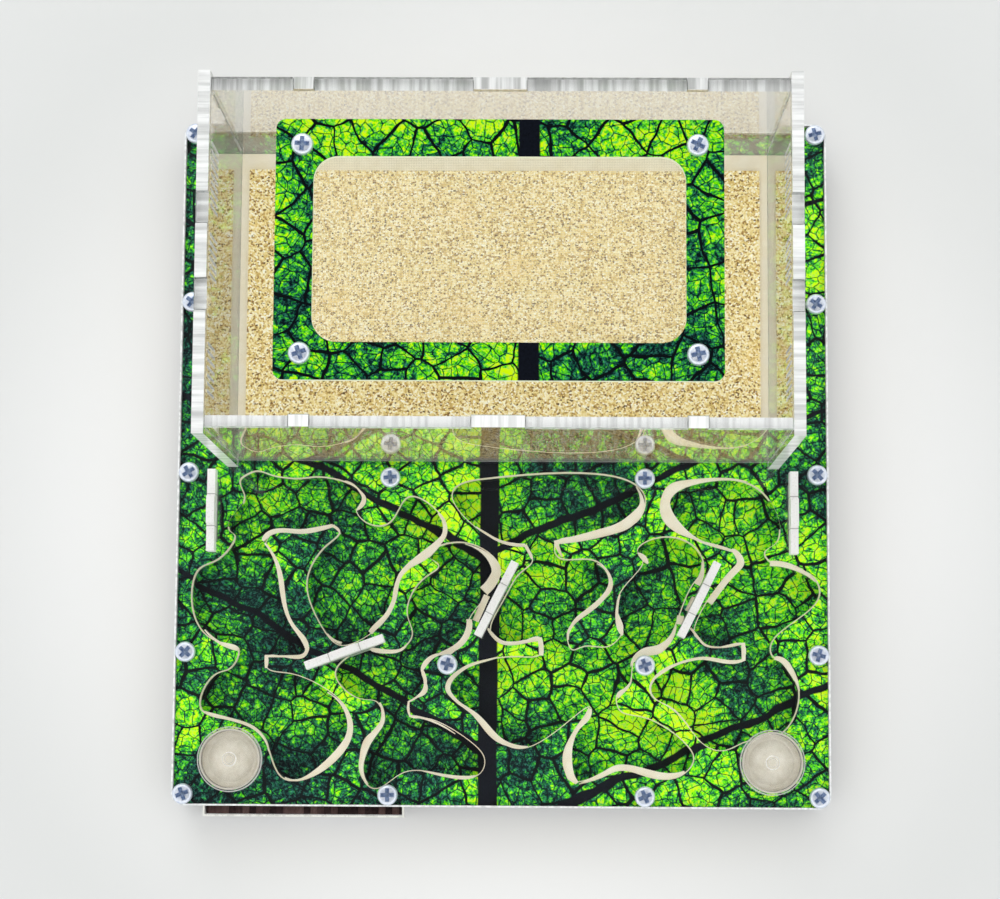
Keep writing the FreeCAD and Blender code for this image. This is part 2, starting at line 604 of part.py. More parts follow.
def screw(name, length, x, y, seat):
    """A pan-head screw with a cross recess, its head standing on a seat."""
    shank = rod(f"{name}_shank", "sizes.shank_radius", length, (x, y, f"{seat} - {length}"))
    head = rod(f"{name}_head", "sizes.head_radius", "sizes.head_height", (x, y, seat))
    cross = []
    for turn in (45, 135):
        size = ("sizes.recess_length", "sizes.recess_width", "sizes.recess_depth")
        bottom = f"{seat} + sizes.head_height - sizes.recess_depth"
        cross.append(turned_block(f"{name}_recess_{turn}", size, (x, y, bottom), turn))
    return cut(name, fuse(f"{name}_blank", [shank, head]), fuse(f"{name}_recess", cross))


sub_part("plate_screws", group("plate_screws", [
    screw(f"plate_screw_{number}", "sizes.screw_length", x, y, NEST_TOP)
    for number, (x, y) in enumerate(screw_places(), start=1)
]))

for name, (x, y, turn) in GATES.items():
    blade_height = f"{NEST_TOP} - {CORE_Z}"
    grip_z = f"{NEST_TOP} + sizes.gate_head_height"
    steps = [
        ("blade", "sizes.gate_blade_length", blade_height, CORE_Z),
        ("head", "sizes.gate_head_length", "sizes.gate_head_height", NEST_TOP),
        ("grip", "sizes.gate_grip_length", "sizes.gate_grip_height", grip_z),
    ]
    sub_part(name, fuse(name, [
        turned_block(
            f"{name}_{step}",
            (length, "sizes.gate_thickness", height),
            (across(x), along(y), bottom),
            turn,
        )
        for step, length, height, bottom in steps
    ]))

PLUG_RADIUS = "(sizes.well_radius - sizes.well_clearance)"
for side, (x, y) in WELLS.items():
    middle = (across(x), along(y))
    sub_part(f"plug_{side}", fuse(f"plug_{side}", [
        rod(f"plug_{side}_stem", PLUG_RADIUS, "sizes.cover_thickness", (*middle, COVER_Z)),
        rod(f"plug_{side}_rim", "sizes.plug_rim_radius", "sizes.plug_rim_height", (*middle, NEST_TOP)),
        rod(
            f"plug_{side}_knob",
            "sizes.knob_radius",
            "sizes.knob_height",
            (*middle, f"{NEST_TOP} + sizes.plug_rim_height"),
        ),
    ]))
    disc = rod(f"hydration_disc_{side}", PLUG_RADIUS, "sizes.disc_height", (*middle, CORE_Z))
    sub_part(f"hydration_disc_{side}", disc)


# ---------------------------------------------------------------------------
# Water tray and its pad
# ---------------------------------------------------------------------------

TRAY_X = f"({BAY_X} + sizes.tray_clearance)"
TRAY_Y = f"({PLATE_FRONT} - sizes.tray_reach)"
TRAY_LENGTH = "(sizes.tray_depth + sizes.tray_reach)"
TRAY_HEIGHT = "(sizes.bay_height - sizes.tray_clearance)"
HOLLOW_X = f"({TRAY_X} + sizes.tray_wall)"
HOLLOW_Y = f"({TRAY_Y} + sizes.tray_wall)"
HOLLOW_Z = f"({TRAY_FRAME_Z} + sizes.tray_wall)"

tray_block = block(
    "tray_block",
    ("sizes.tray_width", TRAY_LENGTH, TRAY_HEIGHT),
    (TRAY_X, TRAY_Y, TRAY_FRAME_Z),
)
tray_hollow = block(
    "tray_hollow",
    ("sizes.tray_width - 2 * sizes.tray_wall", f"{TRAY_LENGTH} - 2 * sizes.tray_wall", TRAY_HEIGHT),
    (HOLLOW_X, HOLLOW_Y, HOLLOW_Z),
)
sub_part("water_tray", cut("water_tray", tray_block, tray_hollow))

pad_inset = "(sizes.tray_wall + sizes.tray_clearance)"
sub_part("wick_pad", block(
    "wick_pad",
    (f"sizes.tray_width - 2 * {pad_inset}", f"{TRAY_LENGTH} - 2 * {pad_inset}", "sizes.pad_height"),
    (f"{TRAY_X} + {pad_inset}", f"{TRAY_Y} + {pad_inset}", HOLLOW_Z),
))


# ---------------------------------------------------------------------------
# Arena: floor, sand and four finger-jointed walls
# ---------------------------------------------------------------------------

FLOOR_HALF = f"({ARENA_INNER_HALF} - sizes.joint_clearance)"
FLOOR_Y = f"({FRONT_WALL_Y} + sizes.wall_thickness + sizes.joint_clearance)"
FLOOR_DEPTH = f"({BACK_WALL_Y} - sizes.joint_clearance - {FLOOR_Y})"
sub_part("arena_floor", block(
    "arena_floor",
    (f"2 * {FLOOR_HALF}", FLOOR_DEPTH, "sizes.arena_floor_thickness"),
    (f"-{FLOOR_HALF}", FLOOR_Y, NEST_TOP),
))
sub_part("sand_layer", block(
    "sand_layer",
    (
        f"2 * ({FLOOR_HALF} - sizes.sand_side_strip)",
        f"{FLOOR_DEPTH} - sizes.sand_clearance - sizes.sand_back_strip",
        "sizes.sand_thickness",
    ),
    (
        f"-({FLOOR_HALF} - sizes.sand_side_strip)",
        f"{FLOOR_Y} + sizes.sand_clearance",
        f"{NEST_TOP} + sizes.arena_floor_thickness",
    ),
))

# Tabs of the front and back walls pass through the side walls at three levels.
WALL_BODY_HEIGHT = "(sizes.arena_height - sizes.lid_thickness)"
TAB_SHARES = (0.17, 0.5, 0.83)
TAB_LEVELS = [
    f"({NEST_TOP} + {WALL_BODY_HEIGHT} * {share} - sizes.wall_tab_height / 2)" for share in TAB_SHARES
]
LID_TAB_PLACES = [f"({ARENA_MIDDLE} + {sign} * sizes.lid_tab_spread / 2)" for sign in (-1, 1)]
# Groups of ventilation slots: place of the first slot from the arena's middle, and their number.
VENT_GROUPS = [(-35.0, 7), (-5.0, 6), (12.5, 9)]


def lid_seat(name, x_low):
    """The notches in a side wall's top edge that take the lid's tabs."""
    notch_length = "(sizes.lid_tab_length + 2 * sizes.lid_clearance)"
    return [
        block(
            f"{name}_notch_{number}",
            ("sizes.wall_thickness", notch_length, "sizes.lid_thickness"),
            (x_low, f"{place} - {notch_length} / 2", LID_Z),
        )
        for number, place in enumerate(LID_TAB_PLACES, start=1)
    ]


def tab_holes(name, x_low):
    """The holes in a side wall that take the front and back walls' tabs."""
    holes = []
    width = "(sizes.wall_thickness + 2 * sizes.joint_clearance)"
    height = "(sizes.wall_tab_height + 2 * sizes.joint_clearance)"
    for wall, y_low in (("front", FRONT_WALL_Y), ("back", BACK_WALL_Y)):
        for number, level in enumerate(TAB_LEVELS, start=1):
            holes.append(block(
                f"{name}_{wall}_hole_{number}",
                ("sizes.wall_thickness", width, height),
                (x_low, f"{y_low} - sizes.joint_clearance", f"{level} - sizes.joint_clearance"),
            ))
    return holes


def vents(name, x_low):
    """Narrow upright ventilation slots near a side wall's top edge."""
    slots = []
    bottom = f"{LID_Z} - sizes.vent_drop - sizes.vent_height"
    for start, count in VENT_GROUPS:
        for index in range(count):
            place = f"{ARENA_MIDDLE} + {start} + {index} * sizes.vent_pitch"
            slots.append(block(
                f"{name}_vent_{len(slots) + 1}",
                ("sizes.wall_thickness", "sizes.vent_width", "sizes.vent_height"),
                (x_low, place, bottom),
            ))
    return slots


def side_wall(name, x_low):
    """A side wall whose ends stand past the front and back walls."""
    size = ("sizes.wall_thickness", "sizes.arena_depth", "sizes.arena_height")
    blank = block(f"{name}_blank", size, (x_low, ARENA_FRONT, NEST_TOP))
    tools = lid_seat(name, x_low) + tab_holes(name, x_low) + vents(name, x_low)
    return sub_part(name, cut(name, blank, fuse(f"{name}_cuts", tools)))


side_wall("wall_left", f"-{ARENA_HALF}")
side_wall("wall_right", ARENA_INNER_HALF)

# Fingers of the front and back walls that rise through the lid: middle and length.
FINGERS = {
    "left": ("-sizes.outer_finger_spread / 2", "sizes.outer_finger_length"),
    "middle": ("0", "sizes.middle_finger_length"),
    "right": ("sizes.outer_finger_spread / 2", "sizes.outer_finger_length"),
}


def cross_wall(name, y_low):
    """The front or back wall: its tabs reach through the side walls, its fingers into the lid."""
    half = f"({ARENA_INNER_HALF} - sizes.joint_clearance)"
    pieces = [block(
        f"{name}_panel",
        (f"2 * {half}", "sizes.wall_thickness", WALL_BODY_HEIGHT),
        (f"-{half}", y_low, NEST_TOP),
    )]
    for number, level in enumerate(TAB_LEVELS, start=1):
        pieces.append(block(
            f"{name}_tab_{number}",
            (f"2 * {ARENA_HALF}", "sizes.wall_thickness", "sizes.wall_tab_height"),
            (f"-{ARENA_HALF}", y_low, level),
        ))
    for side, (middle, length) in FINGERS.items():
        pieces.append(block(
            f"{name}_finger_{side}",
            (length, "sizes.wall_thickness", "sizes.lid_thickness"),
            (f"{middle} - {length} / 2", y_low, LID_Z),
        ))
    return sub_part(name, fuse(name, pieces))


cross_wall("wall_front", FRONT_WALL_Y)
cross_wall("wall_back", BACK_WALL_Y)


# ---------------------------------------------------------------------------
# Lid: clear plate, mesh, printed clamp frame and four screws
# ---------------------------------------------------------------------------

LID_HALF = f"({ARENA_INNER_HALF} - sizes.lid_clearance)"
LID_DEPTH = f"({BACK_WALL_Y} + sizes.wall_thickness - {FRONT_WALL_Y})"
LID_SCREW_X = "(sizes.frame_width / 2 - sizes.lid_screw_inset)"
LID_SCREW_Y = "(sizes.frame_depth / 2 - sizes.lid_screw_inset)"
lid_screw_places = [
    (f"{side_x}{LID_SCREW_X}", f"{ARENA_MIDDLE} {side_y} {LID_SCREW_Y}")
    for side_x in ("-", "")
    for side_y in ("-", "+")
]
lid_screw_holes = fuse("lid_screw_holes", [
    rod(f"lid_screw_hole_{number}", SCREW_HOLE, f"{FRAME_TOP} - {LID_Z}", (x, y, LID_Z))
    for number, (x, y) in enumerate(lid_screw_places, start=1)
])


def centred_window(name, border, bottom, top):
    """A rounded window inside the frame's outline, a border in from it on every side."""
    width = f"(sizes.frame_width - 2 * {border})"
    depth = f"(sizes.frame_depth - 2 * {border})"
    corner = (f"-{width} / 2", f"{ARENA_MIDDLE} - {depth} / 2", bottom)
    hollow = block(f"{name}_block", (width, depth, f"{top} - {bottom}"), corner)
    return rounded(name, hollow, "sizes.window_corner_radius")


def frame_sheet(name, margin, thickness, bottom):
    """A rounded sheet of the frame's outline, less a margin on every side."""
    width = f"(sizes.frame_width - 2 * {margin})"
    depth = f"(sizes.frame_depth - 2 * {margin})"
    corner = (f"-{width} / 2", f"{ARENA_MIDDLE} - {depth} / 2", bottom)
    flat = block(f"{name}_block", (width, depth, thickness), corner)
    return rounded(f"{name}_outline", flat, "sizes.frame_corner_radius")


def lid_plate():
    """The clear lid: rests on the front and back walls, with tabs in the side walls."""
    pieces = [block(
        "lid_panel",
        (f"2 * {LID_HALF}", LID_DEPTH, "sizes.lid_thickness"),
        (f"-{LID_HALF}", FRONT_WALL_Y, LID_Z),
    )]
    for number, place in enumerate(LID_TAB_PLACES, start=1):
        pieces.append(block(
            f"lid_tab_{number}",
            (f"2 * {ARENA_HALF}", "sizes.lid_tab_length", "sizes.lid_thickness"),
            (f"-{ARENA_HALF}", f"{place} - sizes.lid_tab_length / 2", LID_Z),
        ))
    tools = [lid_screw_holes]
    border = "(sizes.frame_border - sizes.window_relief)"
    tools.append(centred_window("lid_window", border, LID_Z, RIM_Z))
    slot_depth = "(sizes.wall_thickness + sizes.lid_clearance)"
    for wall, y_low in (
        ("front", FRONT_WALL_Y),
        ("back", f"{BACK_WALL_Y} - sizes.lid_clearance"),
    ):
        for side, (middle, length) in FINGERS.items():
            slot = f"({length} + 2 * sizes.lid_clearance)"
            tools.append(block(
                f"lid_{wall}_slot_{side}",
                (slot, slot_depth, "sizes.lid_thickness"),
                (f"{middle} - {slot} / 2", y_low, LID_Z),
            ))
    return cut("lid_plate", fuse("lid_blank", pieces), fuse("lid_cuts", tools))


sub_part("lid_plate", lid_plate())
mesh_outline = frame_sheet("lid_mesh", "sizes.mesh_margin", "sizes.mesh_thickness", MESH_Z)
sub_part("lid_mesh", cut("lid_mesh", mesh_outline, lid_screw_holes))

frame_outline = frame_sheet("lid_frame", "0", "sizes.frame_thickness", FRAME_Z)
frame_window = centred_window("frame_window", "sizes.frame_border", FRAME_Z, FRAME_TOP)
frame_cuts = fuse("frame_cuts", [lid_screw_holes, frame_window])
sub_part("lid_frame", cut("lid_frame", frame_outline, frame_cuts))
sub_part("lid_screws", group("lid_screws", [
    screw(f"lid_screw_{number}", "sizes.lid_screw_length", x, y, FRAME_TOP)
    for number, (x, y) in enumerate(lid_screw_places, start=1)
]))


# ---------------------------------------------------------------------------
# Check every object, then write each sub-part
# ---------------------------------------------------------------------------

doc.recompute()
for thing in doc.Objects:
    if "Invalid" in thing.State or "Error" in thing.State:
        raise RuntimeError(f"{thing.Name} failed: {thing.State}")
for feature in sub_parts:
    if feature.Shape.isNull() or not feature.Shape.isValid():
        raise RuntimeError(f"{feature.Label} has no valid shape")

os.makedirs("parts", exist_ok=True)
for feature in sub_parts:
    feature.Shape.exportStep(f"parts/{feature.Label}.step")
    print(f"{feature.Label}: {len(feature.Shape.Solids)} solid(s), {feature.Shape.Volume:.1f} mm3")
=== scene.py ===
# %% [markdown]
# # Dressing an ant habitat
# The habitat is a flat nest of stacked plates with a clear box, the arena, standing on its back
# half. Its solids are already made and packed as a frame, so this lesson only dresses them: it
# gives every solid a finish made of shader nodes and builds the small pieces that need more shape
# than a plain solid has. The frame is loaded first, because every piece takes its place from it.

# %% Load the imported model
import math
import random

import bmesh
import bpy
from mathutils import Euler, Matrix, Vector


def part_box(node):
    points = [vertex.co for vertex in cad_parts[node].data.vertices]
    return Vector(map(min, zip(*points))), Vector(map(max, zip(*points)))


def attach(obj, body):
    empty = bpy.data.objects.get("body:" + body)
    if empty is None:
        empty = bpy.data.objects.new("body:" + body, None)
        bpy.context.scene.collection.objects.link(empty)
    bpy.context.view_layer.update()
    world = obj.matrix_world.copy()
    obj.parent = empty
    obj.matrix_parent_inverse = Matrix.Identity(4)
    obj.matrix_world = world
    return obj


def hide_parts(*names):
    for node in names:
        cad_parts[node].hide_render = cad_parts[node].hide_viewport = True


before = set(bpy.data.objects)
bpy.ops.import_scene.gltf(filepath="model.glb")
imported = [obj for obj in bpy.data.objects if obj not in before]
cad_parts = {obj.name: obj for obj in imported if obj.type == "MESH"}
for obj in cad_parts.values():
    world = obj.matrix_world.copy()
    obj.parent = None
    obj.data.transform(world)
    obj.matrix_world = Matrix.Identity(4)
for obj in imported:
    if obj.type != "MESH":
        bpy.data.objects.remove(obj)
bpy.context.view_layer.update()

MM = 0.001
print("solids loaded:", len(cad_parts))


# %% [markdown]
# The camera looks down on the habitat from above its front half. It is set as a real one would
# be: a place, three turns and a long lens. A long lens keeps the far end of the box almost as
# large as the near end, which suits a flat object. Colours are shown as they are written, without
# a film curve.

# %% Camera above the nest
camera_data = bpy.data.cameras.new("camera")
camera_data.sensor_fit = "HORIZONTAL"
camera_data.sensor_width = 36.0
camera_data.lens = 92.2
camera_data.clip_start = 0.01
camera = bpy.data.objects.new("camera", camera_data)
camera.location = (0.01094, -0.07892, 0.72688)
camera.rotation_euler = Euler([math.radians(turn) for turn in (6.77, 0.906, 0.376)])
bpy.context.scene.collection.objects.link(camera)
bpy.context.scene.camera = camera
bpy.context.scene.view_settings.view_transform = "Standard"
print("camera", round(camera.location.z, 3), "m up, lens", camera_data.lens, "mm")


# %% [markdown]
# A finish is a graph of nodes. Written out in full, such a graph is long and hard to read, so one
# small class keeps the tree and has a method for each kind of node used here. Every method gives
# back an output, which can go straight into the next one. Patterns are measured in millimetres of
# the object itself, so that they stay on a piece when it moves. Shapes that are built here are
# drawn in a bmesh, and a second helper turns a bmesh into an object.

# %% A short way to write finishes and pieces
def colour(red, green, blue):
    """A colour as a paint chart gives it, 0 to 255, turned into the linear light Blender uses."""
    linear = []
    for part in (red, green, blue):
        share = part / 255
        linear.append(share / 12.92 if share <= 0.04045 else ((share + 0.055) / 1.055) ** 2.4)
    return (*linear, 1.0)


class Finish:
    """One material: a Principled shader and the nodes that feed it."""

    def __init__(self, name, **constants):
        self.material = bpy.data.materials.new(name)
        self.material.use_nodes = True
        self.tree = self.material.node_tree
        self.shader = self.tree.nodes["Principled BSDF"]
        for socket, amount in constants.items():
            self.shader.inputs[socket.replace("_", " ")].default_value = amount
        self.place = self.node("ShaderNodeTexCoord").outputs["Object"]
        self.mm = self.vector("SCALE", self.place, scale=1000.0)

    def node(self, kind, **settings):
        made = self.tree.nodes.new(kind)
        for name, setting in settings.items():
            setattr(made, name, setting)
        return made

    def join(self, value, socket):
        """Feeds a socket from another node's output, or sets it to a plain number or colour."""
        if isinstance(value, bpy.types.NodeSocket):
            self.tree.links.new(value, socket)
        else:
            socket.default_value = value

    def math(self, operation, a, b=0.0, c=0.0):
        made = self.node("ShaderNodeMath", operation=operation)
        for value, socket in zip((a, b, c), made.inputs):
            self.join(value, socket)
        return made.outputs[0]

    def vector(self, operation, a, b=None, scale=None):
        made = self.node("ShaderNodeVectorMath", operation=operation)
        self.join(a, made.inputs[0])
        if b is not None:
            self.join(b, made.inputs[1])
        if scale is not None:
            self.join(scale, made.inputs["Scale"])
        return made.outputs["Value" if operation in ("LENGTH", "DOT_PRODUCT") else "Vector"]

    def axes(self, vector):
        """The x, y and z of a vector."""
        made = self.node("ShaderNodeSeparateXYZ")
        self.join(vector, made.inputs[0])
        return made.outputs

    def fade(self, value, low, high, start=0.0, end=1.0):
        """A soft step: start below low, end above high."""
        made = self.node("ShaderNodeMapRange", interpolation_type="SMOOTHSTEP")
        for number, amount in enumerate((value, low, high, start, end)):
            self.join(amount, made.inputs[number])
        return made.outputs[0]

    def noise(self, place, scale, detail=2.0, roughness=0.5, kind="Fac"):
        made = self.node("ShaderNodeTexNoise")
        self.join(place, made.inputs["Vector"])
        made.inputs["Scale"].default_value = scale
        made.inputs["Detail"].default_value = detail
        made.inputs["Roughness"].default_value = roughness
        return made.outputs[kind]

    def cells(self, place, scale, feature="F1", output="Distance", randomness=1.0, dimensions="3D"):
        made = self.node("ShaderNodeTexVoronoi", feature=feature, voronoi_dimensions=dimensions)
        self.join(place, made.inputs["Vector"])
        made.inputs["Scale"].default_value = scale
        made.inputs["Randomness"].default_value = randomness
        return made.outputs[output]

    def ramp(self, value, *stops):
        """Colours along a value: each stop is a place from 0 to 1 and a colour."""
        made = self.node("ShaderNodeValToRGB")
        self.join(value, made.inputs[0])
        elements = made.color_ramp.elements
        while len(elements) < len(stops):
            elements.new(0.5)
        for element, (place, shade) in zip(elements, stops):
            element.position = place
            element.color = shade
        return made.outputs[0]

    def mix(self, share, a, b):
        made = self.node("ShaderNodeMix", data_type="RGBA")
        self.join(share, made.inputs[0])
        self.join(a, made.inputs[6])
        self.join(b, made.inputs[7])
        return made.outputs[2]

    def feed(self, socket, value):
        self.join(value, self.shader.inputs[socket])

    def bump(self, height, distance, strength=1.0):
        made = self.node("ShaderNodeBump")
        made.inputs["Strength"].default_value = strength
        made.inputs["Distance"].default_value = distance
        self.join(height, made.inputs["Height"])
        self.feed("Normal", made.outputs[0])


def add_piece(form, name):
    """Turns a finished bmesh into an object of the scene."""
    mesh = bpy.data.meshes.new(name)
    form.to_mesh(mesh)
    form.free()
    piece = bpy.data.objects.new(name, mesh)
    bpy.context.scene.collection.objects.link(piece)
    return piece


print("finishes can be written now")


# %% [markdown]
# The studio is a white table under a white sky. The sky does most of the lighting, because light
# from all round reaches under clear sheets without noise, and one large soft lamp behind the
# object gives the small shadow at its front. Level sheets mirror what is straight above them, and
# a white ceiling there would veil the dark print under the acrylic. So the sky has a dark patch
# overhead, as a real studio has where the camera hangs. Cycles also blurs glass for light that
# comes from a matt surface, to save noise. Behind a clear sheet that loses a third of the light,
# so the blur is switched off.

# %% Table, sky and lamp
SKY_LEVEL = 1.12
SKY_TILT = 0.22
CEILING_LEVEL = 0.06
CEILING_EDGE = (0.90, 0.96)
LAMP_WATTS = 4.5
LAMP_SIZE = 1.1
LAMP_PLACE = (-0.25, 1.05, 1.15)
TABLE_RINGS = [(1.2, 0.0), (2.4, 0.0), (3.0, 0.06)]
TABLE_STEPS = 48
TABLE_DROP = 0.0001


def make_sky():
    """A white sky, brighter in front of the object, with a soft dark patch straight overhead."""
    world = bpy.data.worlds.new("studio_sky")
    world.use_nodes = True
    tree = world.node_tree
    direction = tree.nodes.new("ShaderNodeTexCoord")
    parts = tree.nodes.new("ShaderNodeSeparateXYZ")
    tree.links.new(direction.outputs["Generated"], parts.inputs[0])
    patch = tree.nodes.new("ShaderNodeMapRange")
    patch.interpolation_type = "SMOOTHSTEP"
    for number, amount in enumerate((*CEILING_EDGE, 1.0, CEILING_LEVEL), start=1):
        patch.inputs[number].default_value = amount
    tree.links.new(parts.outputs["Z"], patch.inputs[0])
    tilt = tree.nodes.new("ShaderNodeMath")
    tilt.operation = "MULTIPLY_ADD"
    tree.links.new(parts.outputs["Y"], tilt.inputs[0])
    tilt.inputs[1].default_value = -SKY_TILT
    tilt.inputs[2].default_value = SKY_LEVEL
    level = tree.nodes.new("ShaderNodeMath")
    level.operation = "MULTIPLY"
    tree.links.new(patch.outputs[0], level.inputs[0])
    tree.links.new(tilt.outputs[0], level.inputs[1])
    background = tree.nodes["Background"]
    background.inputs["Color"].default_value = (1.0, 1.0, 1.0, 1.0)
    tree.links.new(level.outputs[0], background.inputs["Strength"])
    bpy.context.scene.world = world
    bpy.context.scene.cycles.blur_glossy = 0.0


def make_lamp():
    """A large soft lamp behind and above the object."""
    data = bpy.data.lights.new("soft_lamp", "AREA")
    data.shape = "DISK"
    data.size = LAMP_SIZE
    data.energy = LAMP_WATTS
    lamp = bpy.data.objects.new("soft_lamp", data)
    lamp.location = LAMP_PLACE
    lamp.rotation_euler = (-Vector(LAMP_PLACE)).to_track_quat("-Z", "Y").to_euler()
    bpy.context.scene.collection.objects.link(lamp)


def table_finish():
    """White matt card, hardly cloudy, with a painted pool of light: it greys a little further from the
    object.
    """
    card = Finish("white_card", Roughness=1.0, Specular_IOR_Level=0.0)
    cloud = card.noise(card.place, 3.0, 3.0)
    card_white = card.ramp(cloud, (0.3, colour(241, 242, 242)), (0.7, colour(244, 245, 245)))
    # painted light: the card greys towards colour(222, 224, 223) further from the object, so it is
    # brightest round it
    painted_falloff = card.fade(card.vector("LENGTH", card.place), 0.10, 0.17)
    card.feed("Base Color", card.mix(painted_falloff, card_white, colour(222, 224, 223)))
    return card.material


def make_table():
    """A wide sheet of card with a softly raised rim, so that it has no sharp end."""
    form = bmesh.new()
    before = [form.verts.new((0, 0, 0))]
    for radius, height in TABLE_RINGS:
        ring = []
        for step in range(TABLE_STEPS):
            turn = 2 * math.pi * step / TABLE_STEPS
            ring.append(form.verts.new((radius * math.cos(turn), radius * math.sin(turn), height)))
        for step in range(TABLE_STEPS):
            follow = (step + 1) % TABLE_STEPS
            if len(before) == 1:
                form.faces.new((before[0], ring[step], ring[follow]))
            else:
                form.faces.new((before[step], ring[step], ring[follow], before[follow]))
        before = ring
    table = add_piece(form, "table")
    table.location.z = -TABLE_DROP
    table.data.materials.append(table_finish())


make_sky()
make_lamp()
make_table()
print("studio lit at", SKY_LEVEL, "of full white, lamp", LAMP_WATTS, "W")


# %% [markdown]
# The nest and the lid's frame wear a printed leaf. A leaf has three orders of veins: one thick
# midrib, side veins that leave it in a V, and a net of small cells between them. A picture of a
# leaf could be wrapped on the plates, but then the print would be someone's photograph. Here the
# veins are worked out: the midrib and side veins are bands about lines, and the net is the borders
# of three cell patterns, each finer than the last. The leaf's two halves are folded onto each
# other, so that one turn makes the nets run along the side veins on both. The same sum is used on
# the floor and on the sheet above it, so the print runs on through the chamber windows. The board
# between them is cream; the leaf is also painted on the lower walls of its chambers, as painted
# shade and a painted reflection of the print, and only a lip under the sheet and the plate's own
# rim stay bare.

# %% Leaf print
SIDE_VEINS = [
    # side of the midrib, place on it, rise per millimetre outward, width
    (-1, -131.0, 0.42, 3.0), (-1, -79.0, 0.58, 2.8), (-1, -25.0, 0.52, 2.6), (-1, 22.0, 0.55, 2.6),
    (-1, 74.0, 0.50, 2.4),
    (1, -103.0, 0.46, 3.0), (1, -23.0, 0.42, 2.6), (1, 30.0, 0.50, 2.6), (1, 80.0, 0.55, 2.4),
]
# millimetres by which lines wander from their true course
MIDRIB_WANDER = 1.4
SIDE_VEIN_WANDER = 7.0
NET_WANDER = 1.5
# meshes per millimetre in each order of the nets
WIDE_NET = 0.118
MIDDLE_NET = 0.34
FINE_NET = 0.85
NET_SLOPE = 0.5
HALVES_APART = 157.0
DARK_VEIN = colour(9, 16, 18)


